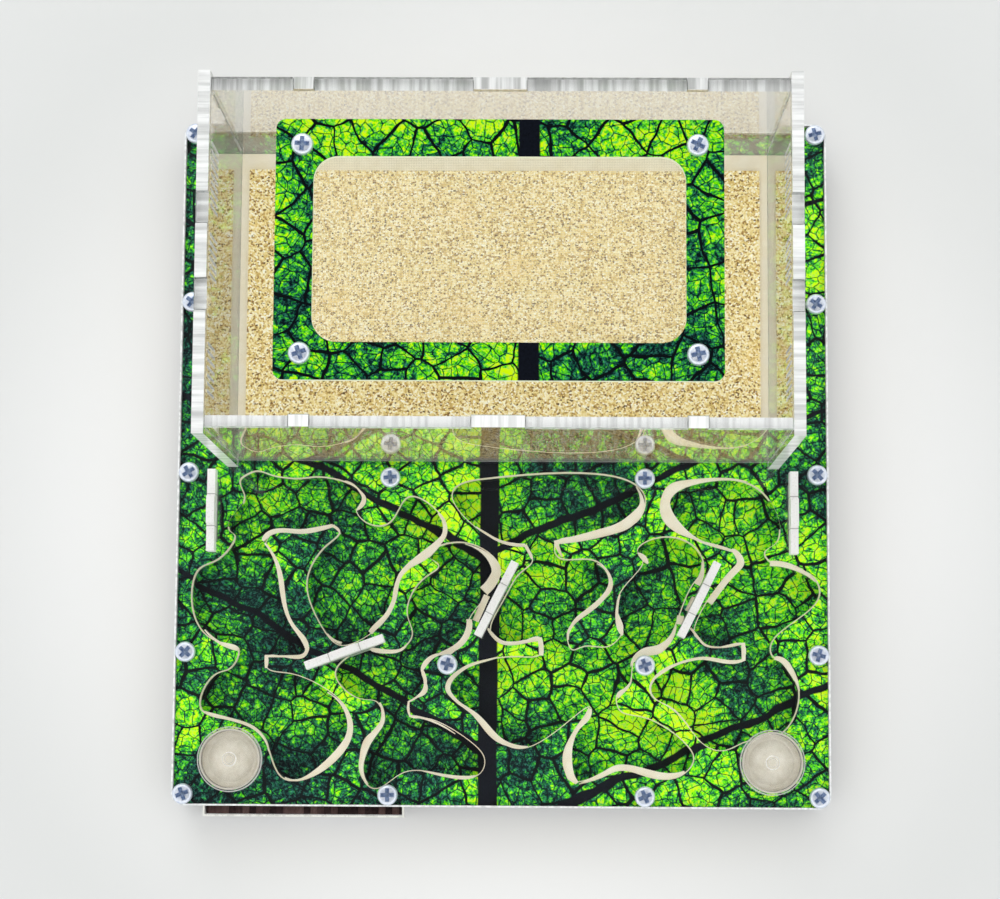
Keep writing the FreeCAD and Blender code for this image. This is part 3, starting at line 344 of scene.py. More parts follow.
def leaf_print(name, midrib_x, along=0.0, painted_light_gain=1.0, **constants):
    """A finish and its printed colour, green leaf tissue with near-black veins."""
    leaf = Finish(name, **constants)
    spot = leaf.vector("ADD", leaf.mm, (0.0, along, 0.0))
    wander = leaf.vector("SUBTRACT", leaf.noise(spot, 0.045, 3.0, 0.55, "Color"), (0.5, 0.5, 0.5))
    bent = leaf.vector("ADD", spot, leaf.vector("SCALE", wander, scale=SIDE_VEIN_WANDER))
    x, y, _ = leaf.axes(bent)
    nearly_straight = leaf.vector("ADD", spot, leaf.vector("SCALE", wander, scale=MIDRIB_WANDER))
    straight_x = leaf.axes(nearly_straight)[0]
    off_rib = leaf.math("ABSOLUTE", leaf.math("SUBTRACT", straight_x, midrib_x))
    veins = leaf.fade(off_rib, 2.4, 2.9, 1.0, 0.0)
    for side, start, rise, width in SIDE_VEINS:
        outward = leaf.math("MULTIPLY", leaf.math("SUBTRACT", x, midrib_x), float(side))
        line = leaf.math("MULTIPLY_ADD", outward, rise, start)
        gap = leaf.math("ABSOLUTE", leaf.math("SUBTRACT", y, line))
        half = leaf.math("MAXIMUM", leaf.math("MULTIPLY_ADD", outward, -0.006, width / 2), 0.4)
        inside = leaf.math("SUBTRACT", half, gap)
        band = leaf.math("MULTIPLY", leaf.fade(inside, -0.2, 0.2), leaf.fade(outward, -0.5, 0.5))
        veins = leaf.math("MAXIMUM", veins, band)
    # both halves are folded onto one, set apart and turned to run along the side veins
    right = leaf.fade(leaf.math("SUBTRACT", x, midrib_x), -0.1, 0.1)
    folded = leaf.node("ShaderNodeCombineXYZ")
    leaf.join(leaf.math("ABSOLUTE", leaf.math("SUBTRACT", x, midrib_x)), folded.inputs[0])
    leaf.join(leaf.math("MULTIPLY_ADD", right, HALVES_APART, y), folded.inputs[1])
    turned = leaf.node("ShaderNodeVectorRotate", rotation_type="Z_AXIS")
    leaf.join(folded.outputs[0], turned.inputs["Vector"])
    turned.inputs["Angle"].default_value = -math.atan(NET_SLOPE)
    flat = turned.outputs[0]
    # nets of small veins: wide meshes first, then finer ones inside them
    ripple = leaf.vector("SUBTRACT", leaf.noise(flat, 0.15, 2.0, 0.5, "Color"), (0.5, 0.5, 0.5))
    crooked = leaf.vector("ADD", flat, leaf.vector("SCALE", ripple, scale=NET_WANDER))
    wide = leaf.cells(crooked, WIDE_NET, "DISTANCE_TO_EDGE", randomness=0.85, dimensions="2D")
    thickness = leaf.fade(leaf.noise(flat, 0.07, 2.0), 0.35, 0.65, 0.022, 0.044)
    wide_veins = leaf.fade(leaf.math("SUBTRACT", wide, thickness), 0.0, 0.014, 1.0, 0.0)
    middle = leaf.cells(crooked, MIDDLE_NET, "DISTANCE_TO_EDGE", randomness=0.95, dimensions="2D")
    middle_veins = leaf.fade(middle, 0.020, 0.070, 0.7, 0.0)
    fine = leaf.cells(crooked, FINE_NET, "DISTANCE_TO_EDGE", dimensions="2D")
    fine_veins = leaf.fade(fine, 0.0, 0.16, 1.0, 0.0)
    # tissue: broad light and shade, a tone for each mesh, and small clouds
    broad = leaf.noise(flat, 0.026, 2.0, 0.6)
    tone_of_mesh = leaf.cells(crooked, WIDE_NET, "F1", "Color", randomness=0.85, dimensions="2D")
    each = leaf.axes(tone_of_mesh)[0]
    clouds = leaf.noise(flat, 0.45, 4.0, 0.72)
    grains = leaf.noise(flat, 1.5, 2.0, 0.6)
    light = leaf.math("MULTIPLY_ADD", leaf.math("SUBTRACT", broad, 0.5), 2.7, 0.70)
    light = leaf.math("MULTIPLY_ADD", leaf.math("SUBTRACT", each, 0.5), 0.20, light)
    light = leaf.math("MULTIPLY_ADD", leaf.math("SUBTRACT", clouds, 0.5), 3.2, light)
    light = leaf.math("MULTIPLY_ADD", leaf.math("SUBTRACT", grains, 0.5), 1.3, light)
    light = leaf.math("MULTIPLY_ADD", leaf.fade(wide, 0.0, 0.14, 1.0, 0.0), -0.24, light)
    light = leaf.math("MULTIPLY_ADD", fine_veins, -0.16, light)
    light = leaf.math("MULTIPLY_ADD", middle_veins, -0.5, light)
    light = leaf.math("ADD", leaf.fade(straight_x, -75.0, -5.0, -0.30, 0.0), light)
    tissue = leaf.ramp(
        light,
        (0.0, colour(5, 14, 22)), (0.15, colour(8, 40, 42)), (0.32, colour(16, 86, 58)),
        (0.46, colour(32, 138, 36)), (0.60, colour(76, 192, 8)), (0.80, colour(112, 222, 0)),
        (1.0, colour(198, 234, 6)),
    )
    pale = leaf.fade(leaf.noise(flat, 1.1, 3.0, 0.7), 0.46, 0.70, 0.0, 0.48)
    tissue = leaf.mix(pale, tissue, colour(66, 158, 132))
    tissue = leaf.mix(middle_veins, tissue, colour(7, 28, 28))
    tissue = leaf.mix(wide_veins, tissue, DARK_VEIN)
    rib = leaf.mix(leaf.noise(flat, 1.4, 2.0), colour(6, 8, 12), colour(20, 24, 34))
    # the gain brightens the whole print beyond its own colour: painted light
    return leaf, leaf.vector("SCALE", leaf.mix(veins, tissue, rib), scale=painted_light_gain)


# the nest plates' outline in millimetres: its middle, its corners and the core between them
PLATE_MIDDLE = (0.0, 1.6, 0.0)
PLATE_CORNER = 3.5
PLATE_CORE = (90.0 - PLATE_CORNER, 95.2 - PLATE_CORNER, 0.0)


def plate_rim(finish, width):
    """1 within a width of the nest plates' rounded outline, 0 further in."""
    off = finish.vector("ABSOLUTE", finish.vector("SUBTRACT", finish.mm, PLATE_MIDDLE))
    past = finish.vector("MAXIMUM", finish.vector("SUBTRACT", off, PLATE_CORE), (0.0, 0.0, 0.0))
    reach = finish.vector("LENGTH", finish.vector("MULTIPLY", past, (1.0, 1.0, 0.0)))
    return finish.fade(reach, PLATE_CORNER - width - 0.1, PLATE_CORNER - width + 0.1)


def cut_edge(finish, below=0.55, above=0.85):
    """1 on the cut edges of a level sheet, 0 on its faces."""
    facing = finish.node("ShaderNodeTexCoord").outputs["Normal"]
    return finish.fade(finish.math("ABSOLUTE", finish.axes(facing)[2]), below, above, 1.0, 0.0)


NEST_MIDRIB = -3.7
FRAME_MIDRIB = 7.5
# the nest's print is painted brighter than the frame's, painted light for what the acrylic cover takes
# away
NEST_PAINTED_LIGHT = 1.45
CREAM_LIP = 17.8
SAWN_EDGE = colour(232, 224, 200)


def nest_print_finish():
    """The matt print of the nest's floor and of the sheet above it."""
    leaf, printed = leaf_print("leaf_print_nest", NEST_MIDRIB, painted_light_gain=NEST_PAINTED_LIGHT,
                               Roughness=0.55, Specular_IOR_Level=0.1)
    leaf.feed("Base Color", leaf.mix(cut_edge(leaf), printed, SAWN_EDGE))
    leaf.bump(leaf.noise(leaf.mm, 3.0, 2.0), 0.00002, 0.2)
    return leaf.material


def frame_print_finish():
    """The glossy print of the lid's frame, with pale cut edges."""
    leaf, printed = leaf_print("leaf_print_frame", FRAME_MIDRIB, along=118.0, painted_light_gain=1.05,
                               Roughness=0.1, Specular_IOR_Level=0.2)
    edge = cut_edge(leaf, 0.75, 0.95)
    leaf.feed("Base Color", leaf.mix(edge, printed, colour(236, 240, 214)))
    leaf.feed("Roughness", leaf.math("MULTIPLY_ADD", edge, 0.4, 0.1))
    leaf.bump(leaf.noise(leaf.mm, 3.0, 2.0), 0.00002, 0.2)
    return leaf.material


def chamber_board_finish():
    """Speckled cream board; the leaf on the lower part of its chambers' walls is painted shade and a
    painted reflection of the print.
    """
    board, printed = leaf_print("cream_core", NEST_MIDRIB, painted_light_gain=NEST_PAINTED_LIGHT,
                                Roughness=0.75, Specular_IOR_Level=0.2)
    specks = board.cells(board.mm, 2.6)
    cloud = board.noise(board.mm, 0.25, 4.0, 0.6)
    tone = board.ramp(cloud, (0.25, colour(248, 238, 212)), (0.75, colour(255, 250, 232)))
    tone = board.mix(board.fade(specks, 0.08, 0.24, 0.3, 0.0), tone, colour(214, 196, 160))
    height = board.axes(board.mm)[2]
    ragged = board.math("MULTIPLY_ADD", board.noise(board.mm, 0.8, 2.0), 0.6, height)
    # below the cream lip the walls take the leaf: painted shade and a painted reflection of the print
    bare = board.math("MAXIMUM", board.fade(ragged, CREAM_LIP, CREAM_LIP + 0.4), plate_rim(board, 0.9))
    board.feed("Base Color", board.mix(bare, printed, tone))
    marks = board.noise(board.vector("MULTIPLY", board.mm, (2.4, 2.4, 0.12)), 1.0, 2.0)
    board.bump(marks, 0.0001, 0.5)
    return board.material


nest_print = nest_print_finish()
frame_print = frame_print_finish()
cream_finish = chamber_board_finish()
print("leaf print with", len(SIDE_VEINS), "side veins")


# %% [markdown]
# Cast acrylic is clear on its faces and frosted where a laser has cut it. Both belong to the same
# sheet, so one finish does both: it asks which way the surface looks and, on the cut edges, lets
# less light through, adds a milky white and roughens the surface with fine ripples across the
# sheet, the marks of the beam. The nest's cover also gets a thin milky rim on its face and milkier
# cut edges, a painted highlight along its outline. The front sheets' cut edges are milkier than
# the back wall's, painted light at the front and painted shade at the back.

# %% Clear acrylic with cut edges
def clear_acrylic(name, sheet_normal, edge_white=0.85, rim=0.0):
    """Clear sheet whose big faces look along an axis and whose cut edges, and rim, are milky. The rim is a
    painted highlight; a higher edge_white is painted light, a lower one painted shade.
    """
    fine, stretched = 3.0, 0.15
    marks = [stretched if share else fine for share in sheet_normal]
    sheet = Finish(name, IOR=1.49, Specular_IOR_Level=0.5)
    facing = sheet.node("ShaderNodeTexCoord").outputs["Normal"]
    along = sheet.math("ABSOLUTE", sheet.vector("DOT_PRODUCT", facing, sheet_normal))
    edge = sheet.fade(along, 0.9, 0.97, 1.0, 0.0)
    # painted highlight: a milky band on the face along the nest plates' outline
    if rim:
        edge = sheet.math("MAXIMUM", edge, plate_rim(sheet, rim))
    ripple = sheet.noise(sheet.vector("MULTIPLY", sheet.mm, marks), 1.0, 2.0)
    cloud = sheet.noise(sheet.vector("MULTIPLY", sheet.mm, marks), 0.25, 3.0)
    sheet.feed("Base Color", sheet.mix(edge, colour(255, 255, 255), colour(250, 252, 251)))
    milk = sheet.math("MULTIPLY", edge, sheet.fade(cloud, 0.3, 0.7, edge_white - 0.3, edge_white + 0.12))
    sheet.feed("Transmission Weight", sheet.math("SUBTRACT", 1.0, milk))
    smear = sheet.fade(sheet.noise(sheet.mm, 0.12, 3.0), 0.5, 0.8, 0.0, 0.015)
    sheet.feed("Roughness", sheet.math("MULTIPLY_ADD", edge, 0.22, smear))
    sheet.bump(sheet.math("MULTIPLY", ripple, edge), 0.00004, 0.5)
    return sheet.material


def frosted_acrylic():
    """Acrylic sanded on its faces for the ants to walk on, which makes it pale and cloudy."""
    floor = Finish("clear_acrylic_frosted", IOR=1.49, Roughness=0.5)
    cloud = floor.noise(floor.mm, 0.2, 4.0, 0.6)
    floor.feed("Base Color", floor.ramp(cloud, (0.3, colour(240, 230, 200)), (0.7, colour(255, 248, 224))))
    floor.feed("Transmission Weight", floor.fade(cloud, 0.3, 0.7, 0.1, 0.25))
    floor.bump(floor.noise(floor.mm, 4.0, 2.0), 0.00004, 0.4)
    return floor.material


UPRIGHT = (0.0, 0.0, 1.0)
ACROSS = (1.0, 0.0, 0.0)
ALONG = (0.0, 1.0, 0.0)
level_acrylic = clear_acrylic("clear_acrylic_level", UPRIGHT)
# the cover's milkier edges and its rim are a painted highlight along its outline
cover_acrylic_painted_highlight = clear_acrylic("clear_acrylic_cover_painted_highlight", UPRIGHT, edge_white=0.97, rim=0.45)
side_acrylic = clear_acrylic("clear_acrylic_side", ACROSS)
# milkier cut edges on the front sheets: painted light
front_acrylic_painted_light = clear_acrylic("clear_acrylic_front_painted_light", ALONG, edge_white=1.05)
# duller cut edges on the back wall: painted shade
back_acrylic_painted_shade = clear_acrylic("clear_acrylic_back_painted_shade", ALONG, edge_white=0.75)
floor_acrylic = frosted_acrylic()
print("clear sheets by the way they face, and a frosted one")


# %% [markdown]
# The bottom plate and the tray's frame are black board. It is never quite black or quite even: it
# is brushed lengthwise, and a little lighter where hands have rubbed it.

# %% Dark base board
def dark_board():
    """Satin black board, slightly brushed and a little lighter where it is handled."""
    board = Finish("base_board", Roughness=0.5)
    brushed = board.noise(board.vector("MULTIPLY", board.mm, (0.25, 6.0, 6.0)), 1.0, 3.0)
    cloud = board.noise(board.mm, 0.06, 3.0)
    tone = board.ramp(brushed, (0.3, colour(26, 27, 30)), (0.7, colour(38, 39, 43)))
    tone = board.mix(board.fade(cloud, 0.5, 0.75, 0.0, 0.5), tone, colour(52, 53, 57))
    board.feed("Base Color", tone)
    board.feed("Roughness", board.fade(cloud, 0.3, 0.7, 0.42, 0.6))
    board.bump(brushed, 0.00003, 0.4)
    return board.material


board_finish = dark_board()
print("base board ready")


# %% [markdown]
# Four finishes are small: bright zinc on the screws, milky acrylic on the gates, clear acrylic on
# the plugs and an unglazed stone for the hydration discs. Each is one or two noise patterns at the
# size that the real stuff has. A gate is also scored across where its raised middle begins. Gates
# stand at all angles, so the score lines are placed along each gate's own length, which is read
# from its mesh.

# %% Zinc, gates, plugs and stone
def zinc(name, dull, bright):
    """Zinc plating with a cool, slightly blotchy sheen between two tones."""
    metal = Finish(name, Metallic=0.75)
    blotch = metal.noise(metal.mm, 1.1, 3.0)
    metal.feed("Base Color", metal.ramp(blotch, (0.3, dull), (0.7, bright)))
    metal.feed("Roughness", metal.fade(metal.noise(metal.mm, 2.5, 2.0), 0.3, 0.7, 0.3, 0.46))
    metal.bump(metal.noise(metal.mm, 5.0, 2.0), 0.00003, 0.25)
    return metal.material


# millimetres from a gate's middle to each score line, and half a line's width
SCORE_PLACE = 4.4
SCORE_HALF_WIDTH = 0.16


def long_way(node):
    """The level direction in which a gate is longest, from the slanting edges of its mesh."""
    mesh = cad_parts[node].data
    ways = [mesh.vertices[edge.vertices[1]].co - mesh.vertices[edge.vertices[0]].co for edge in mesh.edges]
    longest = max((way for way in ways if abs(way.z) > MM), key=lambda way: math.hypot(way.x, way.y))
    return Vector((longest.x, longest.y, 0.0)).normalized()


def gate_acrylic(node):
    """Thin acrylic, milky where it was sawn, with grey flecks and two score lines across it."""
    gate = Finish(f"{node}_acrylic", IOR=1.49, Roughness=0.35)
    fleck = gate.noise(gate.vector("MULTIPLY", gate.mm, (2.2, 2.2, 2.2)), 1.0, 4.0, 0.7)
    tone = gate.ramp(fleck, (0.30, colour(214, 212, 206)), (0.44, colour(253, 253, 250)))
    middle = [(low + high) / 2 / MM for low, high in zip(*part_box(node))]
    along = gate.vector("DOT_PRODUCT", gate.vector("SUBTRACT", gate.mm, middle), long_way(node))
    off_line = gate.math("ABSOLUTE", gate.math("SUBTRACT", gate.math("ABSOLUTE", along), SCORE_PLACE))
    score = gate.fade(off_line, SCORE_HALF_WIDTH / 2, SCORE_HALF_WIDTH, 0.6, 0.0)
    gate.feed("Base Color", gate.mix(score, tone, colour(104, 100, 94)))
    gate.feed("Transmission Weight", gate.fade(fleck, 0.35, 0.65, 0.05, 0.2))
    gate.bump(fleck, 0.0001, 0.5)
    return gate.material


PLUG_PLACE = (74.0, -81.0)


def plug_acrylic():
    """Clear turned acrylic, frosted on its cut edges and where the rim rests on the cover."""
    plug = Finish("plug_acrylic", IOR=1.49)
    haze = plug.noise(plug.mm, 0.5, 3.0)
    clear = plug.ramp(haze, (0.3, colour(248, 249, 246)), (0.7, colour(255, 255, 255)))
    x, y, _ = plug.axes(plug.mm)
    off_axis = plug.node("ShaderNodeCombineXYZ")
    plug.join(plug.math("SUBTRACT", plug.math("ABSOLUTE", x), PLUG_PLACE[0]), off_axis.inputs[0])
    plug.join(plug.math("SUBTRACT", y, PLUG_PLACE[1]), off_axis.inputs[1])
    radius = plug.vector("LENGTH", off_axis.outputs[0])
    seat = plug.math("MULTIPLY", plug.fade(radius, 7.7, 7.9), plug.fade(radius, 8.3, 8.4, 0.8, 0.0))
    edge = plug.math("MAXIMUM", cut_edge(plug, 0.5, 0.92), seat)
    plug.feed("Base Color", plug.mix(seat, clear, colour(216, 209, 194)))
    plug.feed("Transmission Weight", plug.math("MULTIPLY_ADD", edge, -0.75, 1.0))
    plug.feed("Roughness", plug.math("MULTIPLY_ADD", edge, 0.2, plug.fade(haze, 0.4, 0.8, 0.0, 0.02)))
    plug.bump(plug.noise(plug.mm, 1.6, 2.0), 0.00003, 0.3)
    return plug.material


def porous_stone():
    """Unglazed stone: fine pores and a cream-grey mottle."""
    stone = Finish("porous_disc", Roughness=0.85, Specular_IOR_Level=0.25)
    mottle = stone.noise(stone.mm, 0.35, 5.0, 0.65)
    pores = stone.cells(stone.mm, 3.2)
    tone = stone.ramp(mottle, (0.3, colour(228, 220, 204)), (0.7, colour(250, 245, 233)))
    tone = stone.mix(stone.fade(pores, 0.10, 0.26, 0.35, 0.0), tone, colour(186, 176, 158))
    stone.feed("Base Color", tone)
    stone.bump(stone.math("ADD", pores, mottle), 0.0002, 0.5)
    return stone.material


zinc_finish = zinc("zinc_screw", colour(206, 216, 234), colour(240, 245, 252))
# darker zinc for the faces of the screw recess: painted shade
recess_painted_shade_finish = zinc("zinc_recess_painted_shade", colour(112, 132, 166), colour(190, 206, 228))
plug_finish = plug_acrylic()
stone_finish = porous_stone()
print("metal, gates, plugs and discs have their finishes")


# %% [markdown]
# Three more finishes are made of many small bits. Sand is a cell pattern in which every cell picks
# its own tone from a ramp, so single grains can be told apart. The woven steel is drawn by two sine
# waves, one each way, and is see-through between its threads. The fibre of the wick changes tone
# from rib to rib, which white noise on the rib's number gives.

# %% Sand, woven steel and wick
def loose_sand():
    """Quartz sand: each grain has its own tone, from white through tan to dark brown."""
    sand = Finish("sand_grains", Roughness=0.8, Specular_IOR_Level=0.3)
    grain = sand.cells(sand.mm, 2.3, "F1", "Color")
    pick = sand.axes(grain)[0]
    dust = sand.noise(sand.mm, 0.08, 3.0)
    tone = sand.ramp(
        pick,
        (0.0, colour(84, 62, 34)), (0.08, colour(160, 122, 62)), (0.26, colour(216, 186, 108)),
        (0.55, colour(240, 222, 154)), (0.80, colour(250, 238, 190)), (1.0, colour(255, 253, 234)),
    )
    tone = sand.mix(sand.fade(dust, 0.5, 0.8, 0.0, 0.3), tone, colour(244, 208, 120))
    sand.feed("Base Color", tone)
    sand.bump(sand.cells(sand.mm, 2.3), 0.0001, 0.5)
    return sand.material


MESH_PITCH = 0.42


def woven_steel():
    """Steel gauze: fine threads one way and the other, with air between them."""
    gauze = Finish("steel_mesh", Metallic=0.55, Roughness=0.4)
    x, y, _ = gauze.axes(gauze.mm)
    threads = []
    for way in (x, y):
        wave = gauze.math("SINE", gauze.math("MULTIPLY", way, 2 * math.pi / MESH_PITCH))
        threads.append(gauze.fade(wave, 0.94, 0.995))
    weave = gauze.math("MAXIMUM", threads[0], threads[1])
    shine = gauze.noise(gauze.mm, 0.3, 3.0)
    gauze.feed("Base Color", gauze.ramp(shine, (0.3, colour(214, 206, 178)), (0.7, colour(238, 230, 204))))
    gauze.feed("Alpha", weave)
    gauze.bump(weave, 0.0001, 0.4)
    return gauze.material


def fibre_wick(pitch):
    """Dark brown fibre with ribs that differ in tone from one to the next."""
    fibre = Finish("wick_pad", Roughness=0.95, Specular_IOR_Level=0.1)
    rib = fibre.math("FLOOR", fibre.math("DIVIDE", fibre.axes(fibre.mm)[0], pitch))
    tone_of_rib = fibre.node("ShaderNodeTexWhiteNoise", noise_dimensions="1D")
    fibre.join(rib, tone_of_rib.inputs["W"])
    threads = fibre.noise(fibre.vector("MULTIPLY", fibre.mm, (7.0, 1.2, 7.0)), 1.0, 4.0, 0.7)
    shade = fibre.math("MULTIPLY", tone_of_rib.outputs["Value"], 0.5)
    value = fibre.math("MULTIPLY_ADD", threads, 0.5, shade)
    fibre.feed("Base Color", fibre.ramp(
        value,
        (0.15, colour(32, 23, 25)), (0.45, colour(56, 42, 43)), (0.62, colour(84, 65, 64)),
        (0.85, colour(112, 92, 88)),
    ))
    fibre.bump(threads, 0.0003, 0.7)
    return fibre.material


RIB_PITCH = 1.9
sand_finish = loose_sand()
mesh_finish = woven_steel()
wick_finish = fibre_wick(RIB_PITCH)
print("sand, gauze and wick have their finishes")


# %% [markdown]
# Most solids already have the right shape and only need a finish. Real cut sheet never has a
# knife-sharp edge, so the plain ones get a very small bevel, which catches a thin line of light.
# The bevel is a modifier, which leaves the solid's own mesh as it is. Sheets that lie flat on each
# other share a plane, and light can't tell which of the two it meets first. Real sheets hold a
# film of air between them, so a second modifier draws each clear sheet in by a hair.

# %% Finishes and small bevels on the solids
GATES = [f"gate_{number}" for number in range(1, 6)]
FINISHES = {
    "base_plate": board_finish, "tray_frame": board_finish, "floor_plate": nest_print,
    "nest_core": cream_finish, "print_sheet": nest_print, "cover_plate": cover_acrylic_painted_highlight,
    "water_tray": front_acrylic_painted_light, "arena_floor": floor_acrylic, "lid_plate": level_acrylic,
    "wall_left": side_acrylic, "wall_right": side_acrylic,
    "wall_front": front_acrylic_painted_light, "wall_back": back_acrylic_painted_shade,
    "lid_mesh": mesh_finish, "lid_frame": frame_print,
    "hydration_disc_left": stone_finish, "hydration_disc_right": stone_finish,
    "plug_left": plug_finish, "plug_right": plug_finish, "sand_layer": sand_finish,
    "wick_pad": wick_finish, "plate_screws": zinc_finish, "lid_screws": zinc_finish,
    **{gate: gate_acrylic(gate) for gate in GATES},
}
WALLS = ["wall_left", "wall_right", "wall_front", "wall_back"]
SHEET_BEVEL_MM = 0.12
BEVELS_MM = {
    "base_plate": 0.3, "tray_frame": 0.2, "cover_plate": 0.4, "water_tray": 0.1,
    **{wall: SHEET_BEVEL_MM for wall in WALLS},
    "lid_plate": SHEET_BEVEL_MM, "lid_frame": 0.2,
    **{gate: SHEET_BEVEL_MM for gate in GATES},
}
BEVEL_ANGLE = 40
CLEAR_SHEETS = ["cover_plate", "arena_floor", "lid_plate", "water_tray", *WALLS]
AIR_GAP_MM = 0.02


def dress(node, finish):
    """Gives a solid one finish in place of whatever it came with."""
    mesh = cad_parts[node].data
    mesh.materials.clear()
    mesh.materials.append(finish)


def loosen(node, gap_mm):
    """Draws a clear sheet's surface in by a hair, so that it shares no face with its neighbours."""
    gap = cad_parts[node].modifiers.new("air_gap", "DISPLACE")
    gap.direction = "NORMAL"
    gap.mid_level = 0.0
    gap.strength = -gap_mm * MM


def soften(node, width_mm):
    """Adds a small bevel to a solid's sharp edges."""
    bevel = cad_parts[node].modifiers.new("bevel", "BEVEL")
    bevel.width = width_mm * MM
    bevel.segments = 2
    bevel.limit_method = "ANGLE"
    bevel.angle_limit = math.radians(BEVEL_ANGLE)
    bevel.use_clamp_overlap = True


for node, finish in FINISHES.items():
    dress(node, finish)
for node, width_mm in BEVELS_MM.items():
    soften(node, width_mm)
for node in CLEAR_SHEETS:
    loosen(node, AIR_GAP_MM)
print("dressed", len(FINISHES), "solids, bevelled", len(BEVELS_MM))


# %% [markdown]
# Turned pieces, such as a screw or a plug, are one outline spun about an axis. Spinning the
# outline in code gives clean rings of faces, and the outline can be read like a drawing: radius
# first, then height.

# %% Spin an outline into a piece
def spin(outline, steps, middle, name):
    """A closed turned mesh from (radius, height) points in millimetres, about an upright axis."""
    form = bmesh.new()
    x, y, z = middle
    rings = []
    for radius, height in outline:
        if radius == 0:
            rings.append([form.verts.new((x, y, z + height * MM))])
            continue
        ring = []
        for step in range(steps):
            turn = 2 * math.pi * step / steps
            place = (x + radius * MM * math.cos(turn), y + radius * MM * math.sin(turn), z + height * MM)
            ring.append(form.verts.new(place))
        rings.append(ring)
    for lower, upper in zip(rings, rings[1:]):
        for step in range(steps):
            follow = (step + 1) % steps
            if len(lower) == 1:
                form.faces.new((lower[0], upper[follow], upper[step]))
            elif len(upper) == 1:
                form.faces.new((lower[step], lower[follow], upper[0]))
            else:
                form.faces.new((lower[step], lower[follow], upper[follow], upper[step]))
    bmesh.ops.recalc_face_normals(form, faces=form.faces)
    return add_piece(form, name)


def smooth_by_angle(mesh, degrees):
    """Smooth shading everywhere but across edges sharper than an angle."""
    mesh.shade_smooth()
    form = bmesh.new()
    form.from_mesh(mesh)
    for edge in form.edges:
        if len(edge.link_faces) == 2:
            edge.smooth = edge.calc_face_angle() < math.radians(degrees)
    form.to_mesh(mesh)
    form.free()


print("outlines can be spun")


# %% [markdown]
# The screws are zinc pan heads with a cross recess. A head is a spun outline with a rounded
# shoulder and a slightly domed top, the shank has thread rings, and a tapered cross is cut out of
# the head with a boolean. The faces of the recess get a darker zinc of their own, painted shade,
# since little light comes out of a pit. One screw is made and then copied to every place, each
# turned by its own angle, because nobody lines up screws.

# %% Pan-head screws
SCREW_STEPS = 32
HEAD_RADIUS = 2.8
HEAD_HEIGHT = 1.9
HEAD_SIDE = 0.55
SHOULDER_WIDTH = 0.8
SHOULDER_RISE = 1.17
SHOULDER_STEPS = 8
SHANK_RADIUS = 1.5
THREAD_PITCH = 0.5
THREAD_TIP = 0.5
THREAD_END = -0.4
# height, half length and half width of the cross at three levels
CROSS_LEVELS = [(0.45, 0.6, 0.26), (1.3, 1.6, 0.5), (2.4, 2.1, 0.66)]
RECESS_REACH = 2.1
RECESS_TOP = 1.66
NEST_SCREW_LENGTH = 12.0
FRAME_SCREW_LENGTH = 5.0
SCREW_CREASE = 32


def screw_outline(length):
    """The outline of a screw from its tip up to the middle of its domed head."""
    height = -length + THREAD_TIP
    points = [(0, -length), (SHANK_RADIUS - 0.5, -length), (SHANK_RADIUS - 0.1, height)]
    while height + THREAD_PITCH < THREAD_END:
        points.append((SHANK_RADIUS - 0.22, height + THREAD_PITCH / 2))
        points.append((SHANK_RADIUS - 0.02, height + THREAD_PITCH))
        height += THREAD_PITCH
    points += [(SHANK_RADIUS, 0.0), (HEAD_RADIUS - 0.12, 0.0), (HEAD_RADIUS, 0.12)]
    points.append((HEAD_RADIUS, HEAD_SIDE))
    for step in range(1, SHOULDER_STEPS + 1):
        turn = math.pi / 2 * step / SHOULDER_STEPS
        points.append((HEAD_RADIUS - SHOULDER_WIDTH * (1 - math.cos(turn)),
                       HEAD_SIDE + SHOULDER_RISE * math.sin(turn)))
    points += [(1.5, 1.79), (1.0, 1.84), (0.5, HEAD_HEIGHT - 0.02), (0, HEAD_HEIGHT)]
    return points


def cross_cutter():
    """A tapered cross that leaves a screwdriver recess when it is cut out of a head."""
    form = bmesh.new()
    for turn in (0.0, math.pi / 2):
        levels = []
        for height, half_length, half_width in CROSS_LEVELS:
            corners = []
            for u, v in ((-1, -1), (1, -1), (1, 1), (-1, 1)):
                a, b = u * half_length * MM, v * half_width * MM
                corners.append(form.verts.new((a * math.cos(turn) - b * math.sin(turn),
                                               a * math.sin(turn) + b * math.cos(turn), height * MM)))
            levels.append(corners)
        form.faces.new(levels[0][::-1])
        form.faces.new(levels[-1])
        for lower, upper in zip(levels, levels[1:]):
            for corner in range(4):
                follow = (corner + 1) % 4
                form.faces.new((lower[corner], lower[follow], upper[follow], upper[corner]))
    bmesh.ops.recalc_face_normals(form, faces=form.faces)
    return add_piece(form, "cross_cutter")


def screw_mesh(length, cutter):
    """One finished screw about its own origin, the underside of its head at height nought."""
    blank = spin(screw_outline(length), SCREW_STEPS, (0, 0, 0), "screw_blank")
    cut = blank.modifiers.new("recess", "BOOLEAN")
    cut.operation = "DIFFERENCE"
    cut.object = cutter
    cut.solver = "EXACT"
    cut.use_self = True
    bpy.context.view_layer.update()
    mesh = bpy.data.meshes.new_from_object(blank.evaluated_get(bpy.context.evaluated_depsgraph_get()))
    bpy.data.objects.remove(blank)
    smooth_by_angle(mesh, SCREW_CREASE)
    # faces inside the recess take the darker zinc, painted shade
    for face in mesh.polygons:
        inside = math.hypot(face.center.x, face.center.y) < RECESS_REACH * MM
        face.material_index = 1 if inside and 0 < face.center.z < RECESS_TOP * MM else 0
    return mesh


